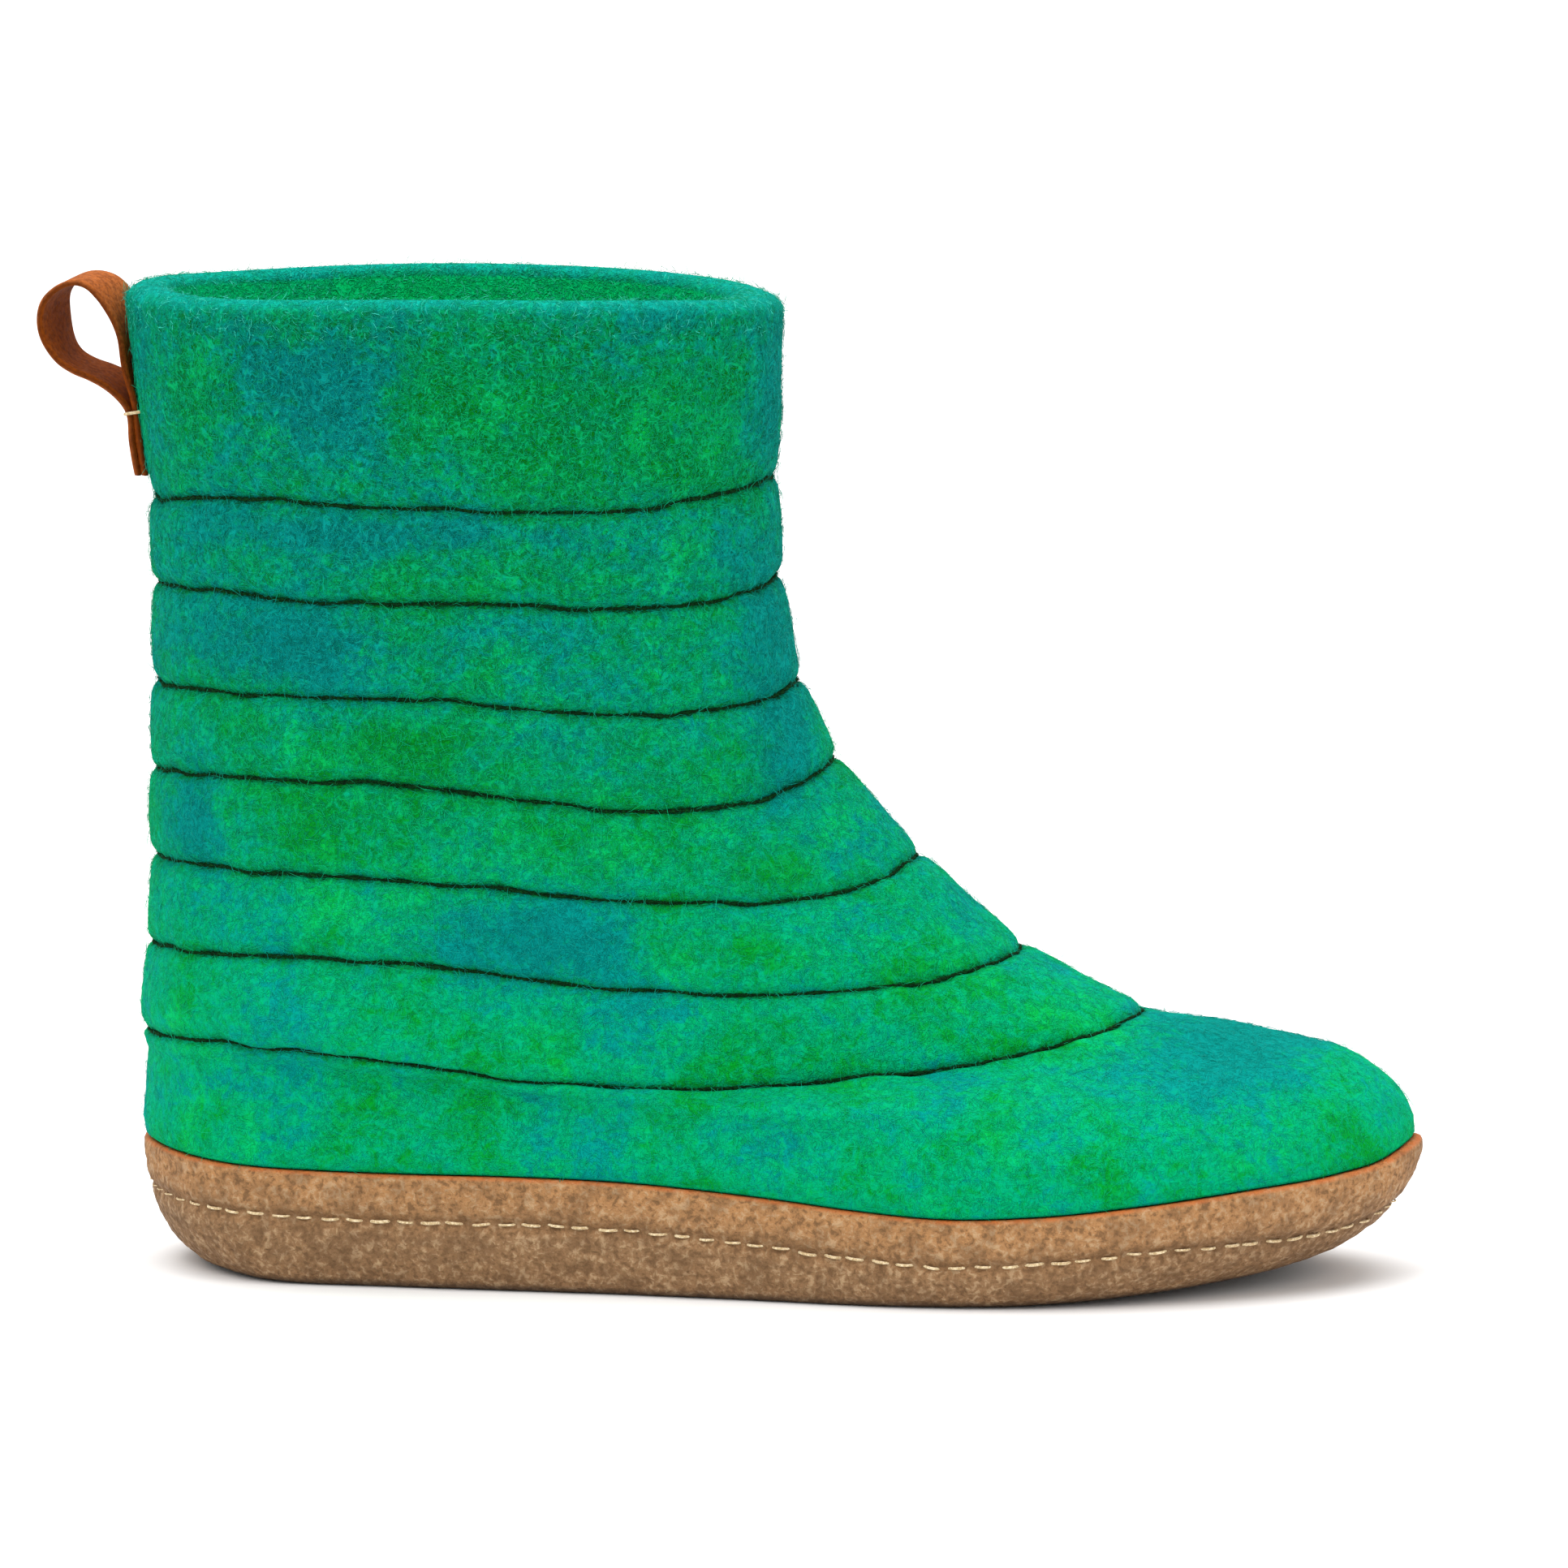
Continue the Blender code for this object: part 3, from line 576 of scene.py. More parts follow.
def felt_surface(way):
    """The felt's rings outside and inside, the lines of its furrows with the felt's normals there,
    and how near each outer point is to a furrow."""
    feather = [cup_ring(way, height, CLEARANCE) for height in CUP_SIDE_RINGS]
    overhang = [rim_ring(way, LIP_THICKNESS + CLEARANCE, 0.0)]
    for row in OVERHANG:
        inset, lift = LIP_THICKNESS * row["inset"], LIP_THICKNESS * row["lift"]
        overhang.append(rim_ring(way, inset, lift, TOE_SETBACK * row["toe"]))
    knots = [overhang.pop()]
    knots += [foot_ring(way, row) for row in FOOT_RINGS]
    knots += [furrow_ring(way, number) for number in range(len(FURROWS))]
    knots.append(collar_ring(way))

    kinds = ["foot"] * len(FOOT_RINGS) + ["vamp"] + ["furrowed"] * (len(FURROWS) - 1) + ["top"]
    rows = [(k, kind, share) for k, kind in enumerate(kinds) for share in band_shares(kind)]
    base = np.array([between(knots, k, share) for k, kind, share in rows] + [knots[-1]])
    swell = np.array([swelling(kind, share) for k, kind, share in rows] + [1.0])
    normals = outward(np.concatenate([feather, overhang, base]))
    low_normals, felt_normals = normals[:len(feather)], normals[len(feather) + len(overhang):]

    # Distance of each point from the nearest furrow, up or down the boot
    steps = np.linalg.norm(np.diff(base, axis=0), axis=2)
    climb = np.concatenate([[np.zeros(way.count)], np.cumsum(steps, axis=0)])
    seam_rows = [n for n, (k, kind, share) in enumerate(rows) if share == 0.0 and k > len(FOOT_RINGS)]
    to_seam = np.min([np.abs(climb - climb[n]) for n in seam_rows], axis=0)

    groove = SEAM_GROOVE * np.exp(-(to_seam / SEAM_GROOVE_WIDTH) ** 2)
    wander = PUCKER_WANDER["amount"] * np.sin(PUCKER_WANDER["waves"] * way.turn)
    puckers = np.sin(PUCKERS * way.turn + wander)
    puckers = puckers + LONG_PUCKER_SHARE * np.sin(PUCKERS / 2 * way.turn)
    pucker = PUCKER_DEPTH * puckers * np.exp(-((to_seam - SEAM_GROOVE_WIDTH) / PUCKER_REACH) ** 2)
    lumps = LUMP_HEIGHT * field(base, LUMP_SIZE) + NAP_HEIGHT * field(base, NAP_SIZE)
    calm = under_the_loop(base)
    relief = (lumps + pucker) * np.clip(climb / LUMP_SIZE, LEAST_RELIEF, 1.0) * calm - groove
    raised = base + felt_normals * (FURROW_DEPTH * swell[:, None] + relief)[..., None]

    top = raised[-1]
    wall = felt_wall(way, 1.0) - FURROW_DEPTH
    into = base[-1] - felt_normals[-1] * wall[:, None] - top
    edge = []
    for angle in np.radians(COLLAR_EDGE):
        crest = top + into * (1 - math.cos(angle)) / 2
        crest[:, 2] += UPPER_THICKNESS / 2 * math.sin(angle)
        nap = CREST_NAP_SHARE * NAP_HEIGHT * field(crest, NAP_SIZE)
        edge.append(crest + nap[:, None] * felt_normals[-1])

    lining = []
    for k, kind in enumerate(kinds):
        for share in np.arange(LINING_RINGS) / LINING_RINGS:
            row = between(knots, k, share)
            nearest = np.argmin([abs(r[0] + r[2] - k - share) for r in rows])
            wall = felt_wall(way, (k + share) / len(kinds)) - FURROW_DEPTH * sinking(kind, share)
            lining.append(row - felt_normals[nearest] * wall[:, None])
    lining.append(top + into)

    inner_cup = [cup_ring(way, 0.0, CLEARANCE, FEATHER_WIDTH)]
    for k in range(2, len(feather)):
        inner_cup.append(feather[k] - low_normals[k] * UPPER_THICKNESS)
    outside = feather + overhang + list(raised)
    inside = edge + lining[::-1] + inner_cup[::-1]
    seams = [(base[n] + raised[n]) / 2 for n in seam_rows]
    near_seam = np.exp(-(to_seam / SEAM_TINT) ** 2)
    return outside, inside, seams, [felt_normals[n] for n in seam_rows], near_seam


def under_the_loop(points):
    """0 where the strap is sewn to the felt, 1 elsewhere."""
    across = (points[..., 1] - LOOP_SIDE_SHIFT) / STRAP_WIDTH
    up = (points[..., 2] - LOOP_SEAM_HEIGHT) / (LOOP_RISE + LOOP_TAIL)
    across, up = across / LOOP_BED["across"], up / LOOP_BED["up"]
    near = np.exp(-across ** LOOP_BED["squareness"] - up ** LOOP_BED["squareness"])
    return np.where(points[..., 0] < -SOLE_LENGTH / 4, 1 - near, 1.0)


def add_mesh(name, points, faces, material):
    """Adds a piece from points and arrays of faces, each array with one number of corners."""
    mesh = bpy.data.meshes.new(name)
    mesh.vertices.add(len(points))
    mesh.vertices.foreach_set("co", np.asarray(points, np.float32).ravel())
    corners = np.concatenate([np.asarray(f).ravel() for f in faces])
    sizes = np.concatenate([np.full(len(f), np.asarray(f).shape[1]) for f in faces])
    mesh.loops.add(len(corners))
    mesh.loops.foreach_set("vertex_index", corners.astype(np.int32))
    mesh.polygons.add(len(sizes))
    mesh.polygons.foreach_set("loop_start", np.concatenate([[0], np.cumsum(sizes)[:-1]]).astype(np.int32))
    mesh.update(calc_edges=True)
    mesh.shade_smooth()
    mesh.materials.append(material)
    piece = bpy.data.objects.new(name, mesh)
    bpy.context.scene.collection.objects.link(piece)
    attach(piece, "root")
    return piece


def paint(piece, **columns):
    """Keeps named numbers for each point of a piece, for its material to read."""
    for name, values in columns.items():
        attribute = piece.data.attributes.new(name, "FLOAT", "POINT")
        attribute.data.foreach_set("value", np.asarray(values, np.float32).ravel())


def skin(count, around, closed):
    """Faces between neighbouring rings; a closed stack also joins its last ring to its first."""
    low = np.arange(count if closed else count - 1)[:, None] * around
    high = (np.arange(1, count + 1 if closed else count)[:, None] % count) * around
    i = np.arange(around)[None, :]
    j = (i + 1) % around
    return np.stack([low + i, low + j, high + j, high + i], axis=-1).reshape(-1, 4)


def caps(first, around, faces_up):
    """Flat or gently sprung cap across a ring: strips from one side of the foot to the other."""
    half = around // 2
    i = np.arange(1, half - 1)
    quads = np.stack([i, i + 1, around - i - 1, around - i], axis=-1)
    ends = np.array([[0, 1, around - 1], [half - 1, half, half + 1]])
    if not faces_up:
        quads, ends = quads[:, ::-1], ends[:, ::-1]
    return [quads + first, ends + first]


def capped(count, around):
    """Faces of a stack of rings that is closed at its lowest and its last ring."""
    low = caps(0, around, faces_up=False)
    high = caps((count - 1) * around, around, faces_up=True)
    quads = np.concatenate([skin(count, around, closed=False), low[0], high[0]])
    return [quads, np.concatenate([low[1], high[1]])]


def tubes(paths, sides, radii):
    """Closed tubes along many paths at once: points (tube, step, 3), radii (tube, step)."""
    count, steps = paths.shape[:2]
    along = np.gradient(paths, axis=1)
    along /= np.linalg.norm(along, axis=2, keepdims=True)
    lean = np.where(np.abs(along[..., 2:]) > STEEP, [1.0, 0.0, 0.0], [0.0, 0.0, 1.0])
    first = np.cross(along, lean)
    first /= np.linalg.norm(first, axis=2, keepdims=True)
    second = np.cross(along, first)
    angles = np.arange(sides) * 2 * math.pi / sides
    round_about = first[:, :, None] * np.cos(angles)[:, None]
    round_about = round_about + second[:, :, None] * np.sin(angles)[:, None]
    middle = paths[:, 1:-1, None] + round_about[:, 1:-1] * radii[:, 1:-1, None, None]
    middle = middle.reshape(count, -1, 3)
    points = np.concatenate([paths[:, :1], middle, paths[:, -1:]], axis=1)
    size = points.shape[1]
    i = np.arange(sides)
    j = (i + 1) % sides
    start = np.stack([np.zeros(sides, int), 1 + j, 1 + i], axis=-1)
    last = 1 + (steps - 3) * sides
    end = np.stack([np.full(sides, size - 1), last + i, last + j], axis=-1)
    walls = skin(steps - 2, sides, closed=False) + 1
    base = (np.arange(count) * size)[:, None, None]
    triangles = (np.concatenate([start, end])[None] + base).reshape(-1, 3)
    quads = (walls[None] + base).reshape(-1, 4)
    return points.reshape(-1, 3), [triangles, quads]


def add_tubes(name, paths, sides, radii, material):
    """Adds a piece made of closed tubes."""
    points, faces = tubes(paths, sides, radii)
    return add_mesh(name, points, faces, material)


def closed_tube(path, sides, radius):
    """A tube that runs round to its own start."""
    along = np.roll(path, -1, axis=0) - np.roll(path, 1, axis=0)
    along /= np.linalg.norm(along, axis=1, keepdims=True)
    first = np.cross(along, [0.0, 0.0, 1.0])
    first /= np.linalg.norm(first, axis=1, keepdims=True)
    second = np.cross(along, first)
    angles = np.arange(sides) * 2 * math.pi / sides
    shape = first[:, None] * np.cos(angles)[:, None] + second[:, None] * np.sin(angles)[:, None]
    points = path[:, None] + shape * radius[:, None, None]
    return points.reshape(-1, 3), skin(len(path), sides, closed=True)


def read_at(at, stations, path, period=None):
    """Points of a path read at some distances along it."""
    return np.stack([np.interp(at, stations, path[:, axis], period=period) for axis in range(3)], axis=-1)


def along_path(path, step):
    """A closed path of points read at even steps of about the given length, where those steps lie
    and the path's whole length."""
    whole = np.concatenate([path, path[:1]])
    run = np.concatenate([[0.0], np.cumsum(np.linalg.norm(np.diff(whole, axis=0), axis=1))])
    at = np.linspace(0.0, run[-1], int(run[-1] / step), endpoint=False)
    return read_at(at, run, whole), at, run[-1]


def shaft_back(outside, z, y):
    """The back of the felt shaft where the loop sits: x at a height and a distance across."""
    back_line = np.array([felt_ring[0] for felt_ring in outside])
    low, high = FURROWS[-1]["full"][0], COLLAR["full"][0]
    breadth = SHAFT_WIDTH * (low + high) / 2
    depth = SHAFT_DEPTH / 2
    rounding = depth * (1 - np.sqrt(1 - (y / breadth) ** 2))
    return np.interp(z, back_line[:, 2], back_line[:, 0]) + rounding


def loop_centre_line():
    """Strap's centre line: distance behind the shaft and height above its seam."""
    inner = CLEARANCE + STRAP_THICKNESS / 2
    outer = inner + STRAP_THICKNESS + CLEARANCE
    out = [inner, inner]
    up = [-LOOP_TAIL, -LOOP_TAIL / 2]
    path = zip(LOOP_PATH["out"], LOOP_PATH["up"])
    for share_out, share_up in [(0.0, 0.0)] + list(path):
        out.append(inner + share_out * LOOP_REACH)
        up.append(share_up * LOOP_RISE)
    out += [outer, outer, outer]
    up += [0.0, -LOOP_TAIL / 2, -LOOP_TAIL]
    spaced = np.concatenate([[0.0], np.cumsum(np.hypot(np.diff(out), np.diff(up)))])
    at = np.linspace(0.0, spaced[-1], STRAP_STEPS)
    return smooth(spaced, out, at), smooth(spaced, up, at)


# The colour sockets of a mix node, which share their names with its other sockets
MIX_FIRST = 6
MIX_SECOND = 7
MIX_RESULT = 2


class Nodes:
    """A material and short ways to add its nodes. Places are in metres on the object."""

    def __init__(self, name):
        self.material = bpy.data.materials.new(name)
        self.material.use_nodes = True
        self.tree = self.material.node_tree
        self.shader = self.tree.nodes["Principled BSDF"]
        self.place = self.add("ShaderNodeTexCoord").outputs["Object"]

    def add(self, kind, **settings):
        node = self.tree.nodes.new(kind)
        for name, value in settings.items():
            setattr(node, name, value)
        return node

    def put(self, socket, value):
        if isinstance(value, bpy.types.NodeSocket):
            self.tree.links.new(value, socket)
        elif isinstance(value, tuple):
            socket.default_value = (*value, 1.0)
        else:
            socket.default_value = value

    def noise(self, size, detail=2.0, rough=0.5, distortion=0.0, place=None):
        """Noise from 0 to 1 with lumps of the given size in metres."""
        node = self.add("ShaderNodeTexNoise")
        self.put(node.inputs["Vector"], place or self.place)
        node.inputs["Scale"].default_value = 1 / size
        node.inputs["Detail"].default_value = detail
        node.inputs["Roughness"].default_value = rough
        node.inputs["Distortion"].default_value = distortion
        return node.outputs["Fac"]

    def stretched(self, x, y, z):
        """Places stretched along the axes, which squeezes the noise that is read there."""
        node = self.add("ShaderNodeVectorMath", operation="MULTIPLY")
        self.put(node.inputs[0], self.place)
        node.inputs[1].default_value = (x, y, z)
        return node.outputs["Vector"]

    def ramp(self, value, low, high, start=0.0, end=1.0):
        """A value's range from low to high, carried smoothly to start to end and clamped."""
        node = self.add("ShaderNodeMapRange", interpolation_type="SMOOTHSTEP")
        self.put(node.inputs["Value"], value)
        for name, number in (("From Min", low), ("From Max", high), ("To Min", start), ("To Max", end)):
            node.inputs[name].default_value = number
        return node.outputs["Result"]

    def work_out(self, operation, first, second):
        node = self.add("ShaderNodeMath", operation=operation)
        self.put(node.inputs[0], first)
        self.put(node.inputs[1], second)
        return node.outputs["Value"]

    def times(self, first, second):
        return self.work_out("MULTIPLY", first, second)

    def plus(self, first, second):
        return self.work_out("ADD", first, second)

    def minus(self, first, second):
        return self.work_out("SUBTRACT", first, second)

    def swing(self, value, amount):
        """Noise from 0 to 1 made to swing either way by the given amount in all."""
        return self.times(self.minus(value, 0.5), amount)

    def mix(self, share, first, second):
        node = self.add("ShaderNodeMix", data_type="RGBA")
        self.put(node.inputs["Factor"], share)
        self.put(node.inputs[MIX_FIRST], first)
        self.put(node.inputs[MIX_SECOND], second)
        return node.outputs[MIX_RESULT]

    def attribute(self, name):
        return self.add("ShaderNodeAttribute", attribute_name=name).outputs["Fac"]

    def bump(self, height, distance, strength=1.0):
        node = self.add("ShaderNodeBump")
        self.put(node.inputs["Height"], height)
        node.inputs["Distance"].default_value = distance
        node.inputs["Strength"].default_value = strength
        self.put(self.shader.inputs["Normal"], node.outputs["Normal"])

    def finish(self, colour, roughness, **constants):
        self.put(self.shader.inputs["Base Color"], colour)
        self.put(self.shader.inputs["Roughness"], roughness)
        for name, value in constants.items():
            self.put(self.shader.inputs[name.replace("_", " ")], value)
        return self.material


def colour(red, green, blue):
    """A colour given as it shows on a screen, 0 to 255, as the shader wants it."""
    shares = np.array([red, green, blue]) / 255
    linear = np.where(shares <= 0.04045, shares / 12.92, ((shares + 0.055) / 1.055) ** 2.4)
    return tuple(float(share) for share in linear)


# Wool, yarn, crepe rubber, thread, leather and insole, as they show on a screen
EMERALD = colour(0, 163, 107)
GRASS = colour(2, 145, 40)
TEAL = colour(0, 142, 132)
SPRING_GREEN = colour(6, 186, 84)
SHADE = colour(0, 92, 26)
DEEP_TEAL = colour(0, 98, 100)
OLIVE = colour(6, 92, 0)
DARK_HOLLOW = colour(0, 78, 64)
BRIGHT_HAIR = colour(6, 172, 106)
TEAL_HAIR = colour(8, 148, 136)
HAIR_SHADE = colour(4, 112, 78)
PALE_HAIR = colour(64, 206, 186)
# Teal fuzz on the collar's crest, lighter than the wall below as a painted highlight
CREST = colour(10, 160, 144)
# Inside of the shaft, painted brighter to make up for the shade there
LINING_PAINTED_LIGHT = colour(0, 200, 100)
YARN_DARK = colour(2, 24, 8)
YARN_GREEN = colour(6, 66, 22)
CREPE = colour(142, 107, 73)
CREPE_DARK = colour(102, 74, 48)
CREPE_LIGHT = colour(192, 160, 122)
CREPE_WARM = colour(174, 126, 80)
CREPE_EDGE = colour(196, 104, 48)
# Painted contact shadow at the foot of the sole, which also stands for dirt on the tread
GROUND_SHADE_AND_DIRT = colour(40, 32, 26)
THREAD = colour(232, 214, 178)
THREAD_DARK = colour(188, 160, 118)
LEATHER = colour(146, 70, 14)
LEATHER_LIGHT = colour(172, 96, 44)
LEATHER_DARK = colour(74, 30, 6)
INSOLE_GREEN = colour(0, 96, 66)


def curled_fibres(n, size, turns, thin, place=None):
    """Fine curly lines, as hairs lie on felt: the level lines of a smooth noise, broken up."""
    level = n.times(n.noise(size, 1.0, 0.45, 0.9, place=place), turns)
    away = n.work_out("PINGPONG", level, 0.5)
    return n.ramp(away, thin, 0.0)


def felt_material():
    """Mottled green wool felt with teal and olive clouds, dark hollows and a web of curly hairs, with
    a painted highlight on the collar's crest and painted light on the inside of the shaft.
    """
    n = Nodes("wool_felt")
    shaft = n.attribute("shaft")
    tuft = n.noise(0.0030, 4.0, 0.72, 1.0)
    cloud = n.noise(CLOUD_SIZE, 3.0, 0.6, 0.4)
    tint = n.plus(n.attribute("tint"), n.swing(tuft, TUFT_TINT))
    tint = n.plus(tint, n.swing(cloud, CLOUD_TINT))
    wool = n.mix(n.ramp(tint, 0.10, -0.75), EMERALD, GRASS)
    wool = n.mix(n.ramp(tint, 0.0, 0.75), wool, TEAL)
    dark = n.plus(n.times(shaft, 0.55), n.attribute("dark"))
    wool = n.mix(n.work_out("MINIMUM", dark, 0.85), wool, n.mix(n.ramp(tint, -0.3, 0.4), SHADE, DEEP_TEAL))

    bright = n.ramp(n.noise(0.017, 4.0, 0.62, 0.8), 0.52, 0.70, 0.0, 0.55)
    wool = n.mix(n.times(bright, n.ramp(tint, 0.7, 0.0)), wool, SPRING_GREEN)

    web = n.work_out("MAXIMUM", curled_fibres(n, 0.0040, 5.5, 0.19),
                     curled_fibres(n, 0.0030, 5.0, 0.20, n.stretched(1.0, 1.0, 1.5)))
    web = n.work_out("MAXIMUM", web, curled_fibres(n, 0.0022, 4.0, 0.21, n.stretched(1.4, 1.4, 0.9)))
    hollows = n.ramp(n.noise(0.0017, 3.0, 0.7, 0.8), 0.46, 0.64)
    hollows = n.times(hollows, n.minus(1.0, n.times(web, 0.8)))
    depth = n.ramp(shaft, 0.0, 1.0, 0.12, 0.90)
    wool = n.mix(n.times(hollows, depth), wool, n.mix(n.ramp(tint, -0.2, 0.5), OLIVE, DARK_HOLLOW))
    shown = n.times(web, n.ramp(shaft, 0.0, 1.0, 0.12, 0.62))
    wool = n.mix(shown, wool, n.mix(n.ramp(tint, -0.4, 0.4), BRIGHT_HAIR, TEAL_HAIR))

    # Painted light: the inside of the shaft made brighter against its shade
    wool = n.mix(n.times(n.attribute("lining"), 0.75), wool, LINING_PAINTED_LIGHT)
    # The collar's crest: teal fuzz, and lighter than the wall as a painted highlight where it faces up
    wool = n.mix(n.times(n.attribute("crest"), n.ramp(tuft, 0.3, 0.6, 0.55, 0.95)), wool, CREST)
    seam = n.times(n.attribute("seam"), n.ramp(tuft, 0.35, 0.62, 0.85, 0.15))
    wool = n.mix(seam, wool, OLIVE)
    height = n.plus(n.times(web, 0.5), tuft)
    height = n.minus(height, n.times(hollows, 0.6))
    n.bump(n.times(height, n.ramp(shaft, 0.0, 0.5, 0.60, 1.0)), 0.0007, 0.85)
    return n.finish(wool, 0.95, Specular_IOR_Level=0.03, Sheen_Weight=0.35, Sheen_Roughness=0.35,
                    Sheen_Tint=colour(0, 200, 175))


def hair_material():
    """Single wool hairs from deep green to pale teal."""
    n = Nodes("wool_hair")
    tone = n.attribute("tone")
    wool = n.mix(n.ramp(tone, 0.0, 0.6), EMERALD, BRIGHT_HAIR)
    tint = n.plus(n.attribute("tint"), n.swing(n.noise(CLOUD_SIZE, 3.0), CLOUD_TINT))
    wool = n.mix(n.ramp(tint, -0.5, 0.6), wool, TEAL_HAIR)
    wool = n.mix(n.times(n.attribute("shaft"), 0.40), wool, HAIR_SHADE)
    wool = n.mix(n.ramp(tone, 0.80, 1.0), wool, PALE_HAIR)
    return n.finish(wool, 0.8, Specular_IOR_Level=0.08, Sheen_Weight=0.2,
                    Sheen_Tint=colour(20, 210, 180))


def yarn_material():
    n = Nodes("sewing_yarn")
    streak = n.noise(0.0006, 3.0, 0.7, 1.5)
    wool = n.mix(n.ramp(streak, 0.42, 0.66), YARN_DARK, YARN_GREEN)
    n.bump(streak, 0.0002, 0.8)
    return n.finish(wool, 0.9, Specular_IOR_Level=0.1, Sheen_Weight=0.15, Sheen_Tint=colour(20, 130, 60))


def crepe_material():
    """Natural crepe rubber: a pebbled, blotchy tan, warmer towards its top edge and darker lower down
    as painted shade, with painted shade in the stitch channel and a painted contact shadow, also
    standing for dirt, where it treads on the ground."""
    n = Nodes("crepe_rubber")
    grain = n.noise(0.0015, 3.0, 0.62, 0.3)
    blotch = n.noise(0.0050, 3.0, 0.6, 0.3)
    # Warmer tan towards the top edge; the plainer, darker tan lower down is painted shade
    tan = n.mix(n.attribute("high"), CREPE, CREPE_WARM)
    tan = n.mix(n.ramp(grain, 0.34, 0.50, 0.70, 0.0), tan, CREPE_DARK)
    tan = n.mix(n.ramp(grain, 0.50, 0.66, 0.0, 0.66), tan, CREPE_LIGHT)
    tan = n.mix(n.ramp(blotch, 0.36, 0.60, 0.45, 0.0), tan, CREPE_DARK)
    # Painted shade in the stitch channel
    tan = n.mix(n.times(n.attribute("channel"), 0.4), tan, CREPE_DARK)
    edge = n.times(n.attribute("edge"), n.ramp(n.noise(0.004, 2.0), 0.3, 0.6, 0.45, 1.0))
    tan = n.mix(edge, tan, CREPE_EDGE)
    # Painted contact shadow along the bottom of the sole, also standing for dirt on the tread
    tan = n.mix(n.times(n.attribute("ground"), 0.6), tan, GROUND_SHADE_AND_DIRT)
    height = n.plus(grain, n.times(n.noise(0.0007, 3.0, 0.7), 0.4))
    n.bump(height, 0.0013, 0.9)
    return n.finish(tan, n.ramp(grain, 0.3, 0.7, 0.88, 0.66), Specular_IOR_Level=0.25)


def thread_material():
    n = Nodes("sole_thread")
    twist = n.noise(0.0005, 2.0, 0.6, 0.5)
    linen = n.mix(n.ramp(twist, 0.40, 0.65), THREAD_DARK, THREAD)
    n.bump(twist, 0.00015, 0.6)
    return n.finish(linen, 0.8, Specular_IOR_Level=0.2)


def leather_material():
    """Brown oiled leather, paler where it is bent and handled, dark along its cut edges."""
    n = Nodes("loop_leather")
    wear = n.times(n.attribute("wear"), n.ramp(n.noise(0.006, 3.0, 0.6), 0.3, 0.65, 0.5, 1.0))
    hide = n.mix(wear, LEATHER, LEATHER_LIGHT)
    hide = n.mix(n.ramp(n.noise(0.0012, 4.0, 0.7), 0.36, 0.60, 0.55, 0.0), hide, LEATHER_DARK)
    hide = n.mix(n.attribute("cut"), hide, LEATHER_DARK)
    grain = n.noise(0.0009, 4.0, 0.7)
    n.bump(grain, 0.0004, 0.8)
    return n.finish(hide, n.ramp(grain, 0.35, 0.65, 0.85, 0.65), Specular_IOR_Level=0.06)


def insole_material():
    n = Nodes("insole_felt")
    wool = n.mix(n.ramp(n.noise(0.008, 4.0, 0.6), 0.4, 0.65), INSOLE_GREEN, DEEP_TEAL)
    n.bump(n.noise(0.0012, 3.0, 0.7, 1.0), 0.0005, 0.8)
    return n.finish(wool, 0.95, Specular_IOR_Level=0.1, Sheen_Weight=0.3, Sheen_Tint=colour(40, 190, 140))


def wool_of(points):
    """How teal or olive the wool is at each point and how dark, from the listed patches."""
    tint, dark = np.zeros(len(points)), np.zeros(len(points))
    for x, z, half_length, half_height, side, share, shade in WOOL_PATCHES:
        away = np.hypot((points[:, 0] - x) / half_length, (points[:, 2] - z) / half_height)
        near = np.exp(-away ** 2)
        if side:
            near = near * (np.sign(points[:, 1]) == side)
        tint += share * near
        dark += shade * near
    return tint, dark


def up_the_shaft(points):
    """0 over the foot, 1 at the collar."""
    return np.clip((points[:, 2] - SHAFT_START) / (COLLAR_HEIGHT - SHAFT_START), 0.0, 1.0)


def build_upper(outside, inside, near_seam):
    rings = outside + inside
    points = np.concatenate(rings)
    piece = add_mesh("felt_upper", points, [skin(len(rings), FELT_AROUND, closed=True)], felt_material())
    tint, dark = wool_of(points)
    # crest: teal fuzz and a painted highlight along the collar's top
    crest = np.tile(outside[-1][:, 2] + UPPER_THICKNESS / 2, len(rings))
    below_crest = crest - points[:, 2]
    # lining: painted light on the inside of the shaft
    lined = np.arange(len(points)) >= (len(outside) + len(COLLAR_EDGE)) * FELT_AROUND
    seam = np.zeros(len(points))
    first = (len(outside) - len(near_seam)) * FELT_AROUND
    seam[first:first + near_seam.size] = near_seam.ravel()
    paint(piece, tint=tint, dark=dark * ~lined, shaft=up_the_shaft(points), lining=lined, seam=seam,
          crest=np.exp(-(np.clip(below_crest, 0.0, None) / CREST_TINT) ** 2))
    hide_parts("upper")


def yarn_hairs(path, out, up, count):
    """Short hairs that the yarn sheds along its way, most of them lying along it."""
    at = rng.integers(0, len(path), count)
    along = np.roll(path, -1, axis=0) - path
    along /= np.linalg.norm(along, axis=1, keepdims=True)
    heading = rng.normal(0, YARN_HAIR["turn"], count) + math.pi * rng.integers(0, 2, count)
    length = rng.uniform(*YARN_HAIR["length"], count)
    start = path[at] + up[at] * rng.normal(0, PLY_RADIUS * YARN_HAIR["spread"], (count, 1))
    start = start + out[at] * PLY_RADIUS * YARN_HAIR["stand"]
    paths = np.zeros((count, HAIR_POINTS, 3))
    for k, share in enumerate(np.linspace(0.0, 1.0, HAIR_POINTS)):
        way = along[at] * np.cos(heading)[:, None] + up[at] * np.sin(heading)[:, None]
        paths[:, k] = start + way * (share * length)[:, None]
    return paths + rng.normal(0, YARN_HAIR["kink"], paths.shape)


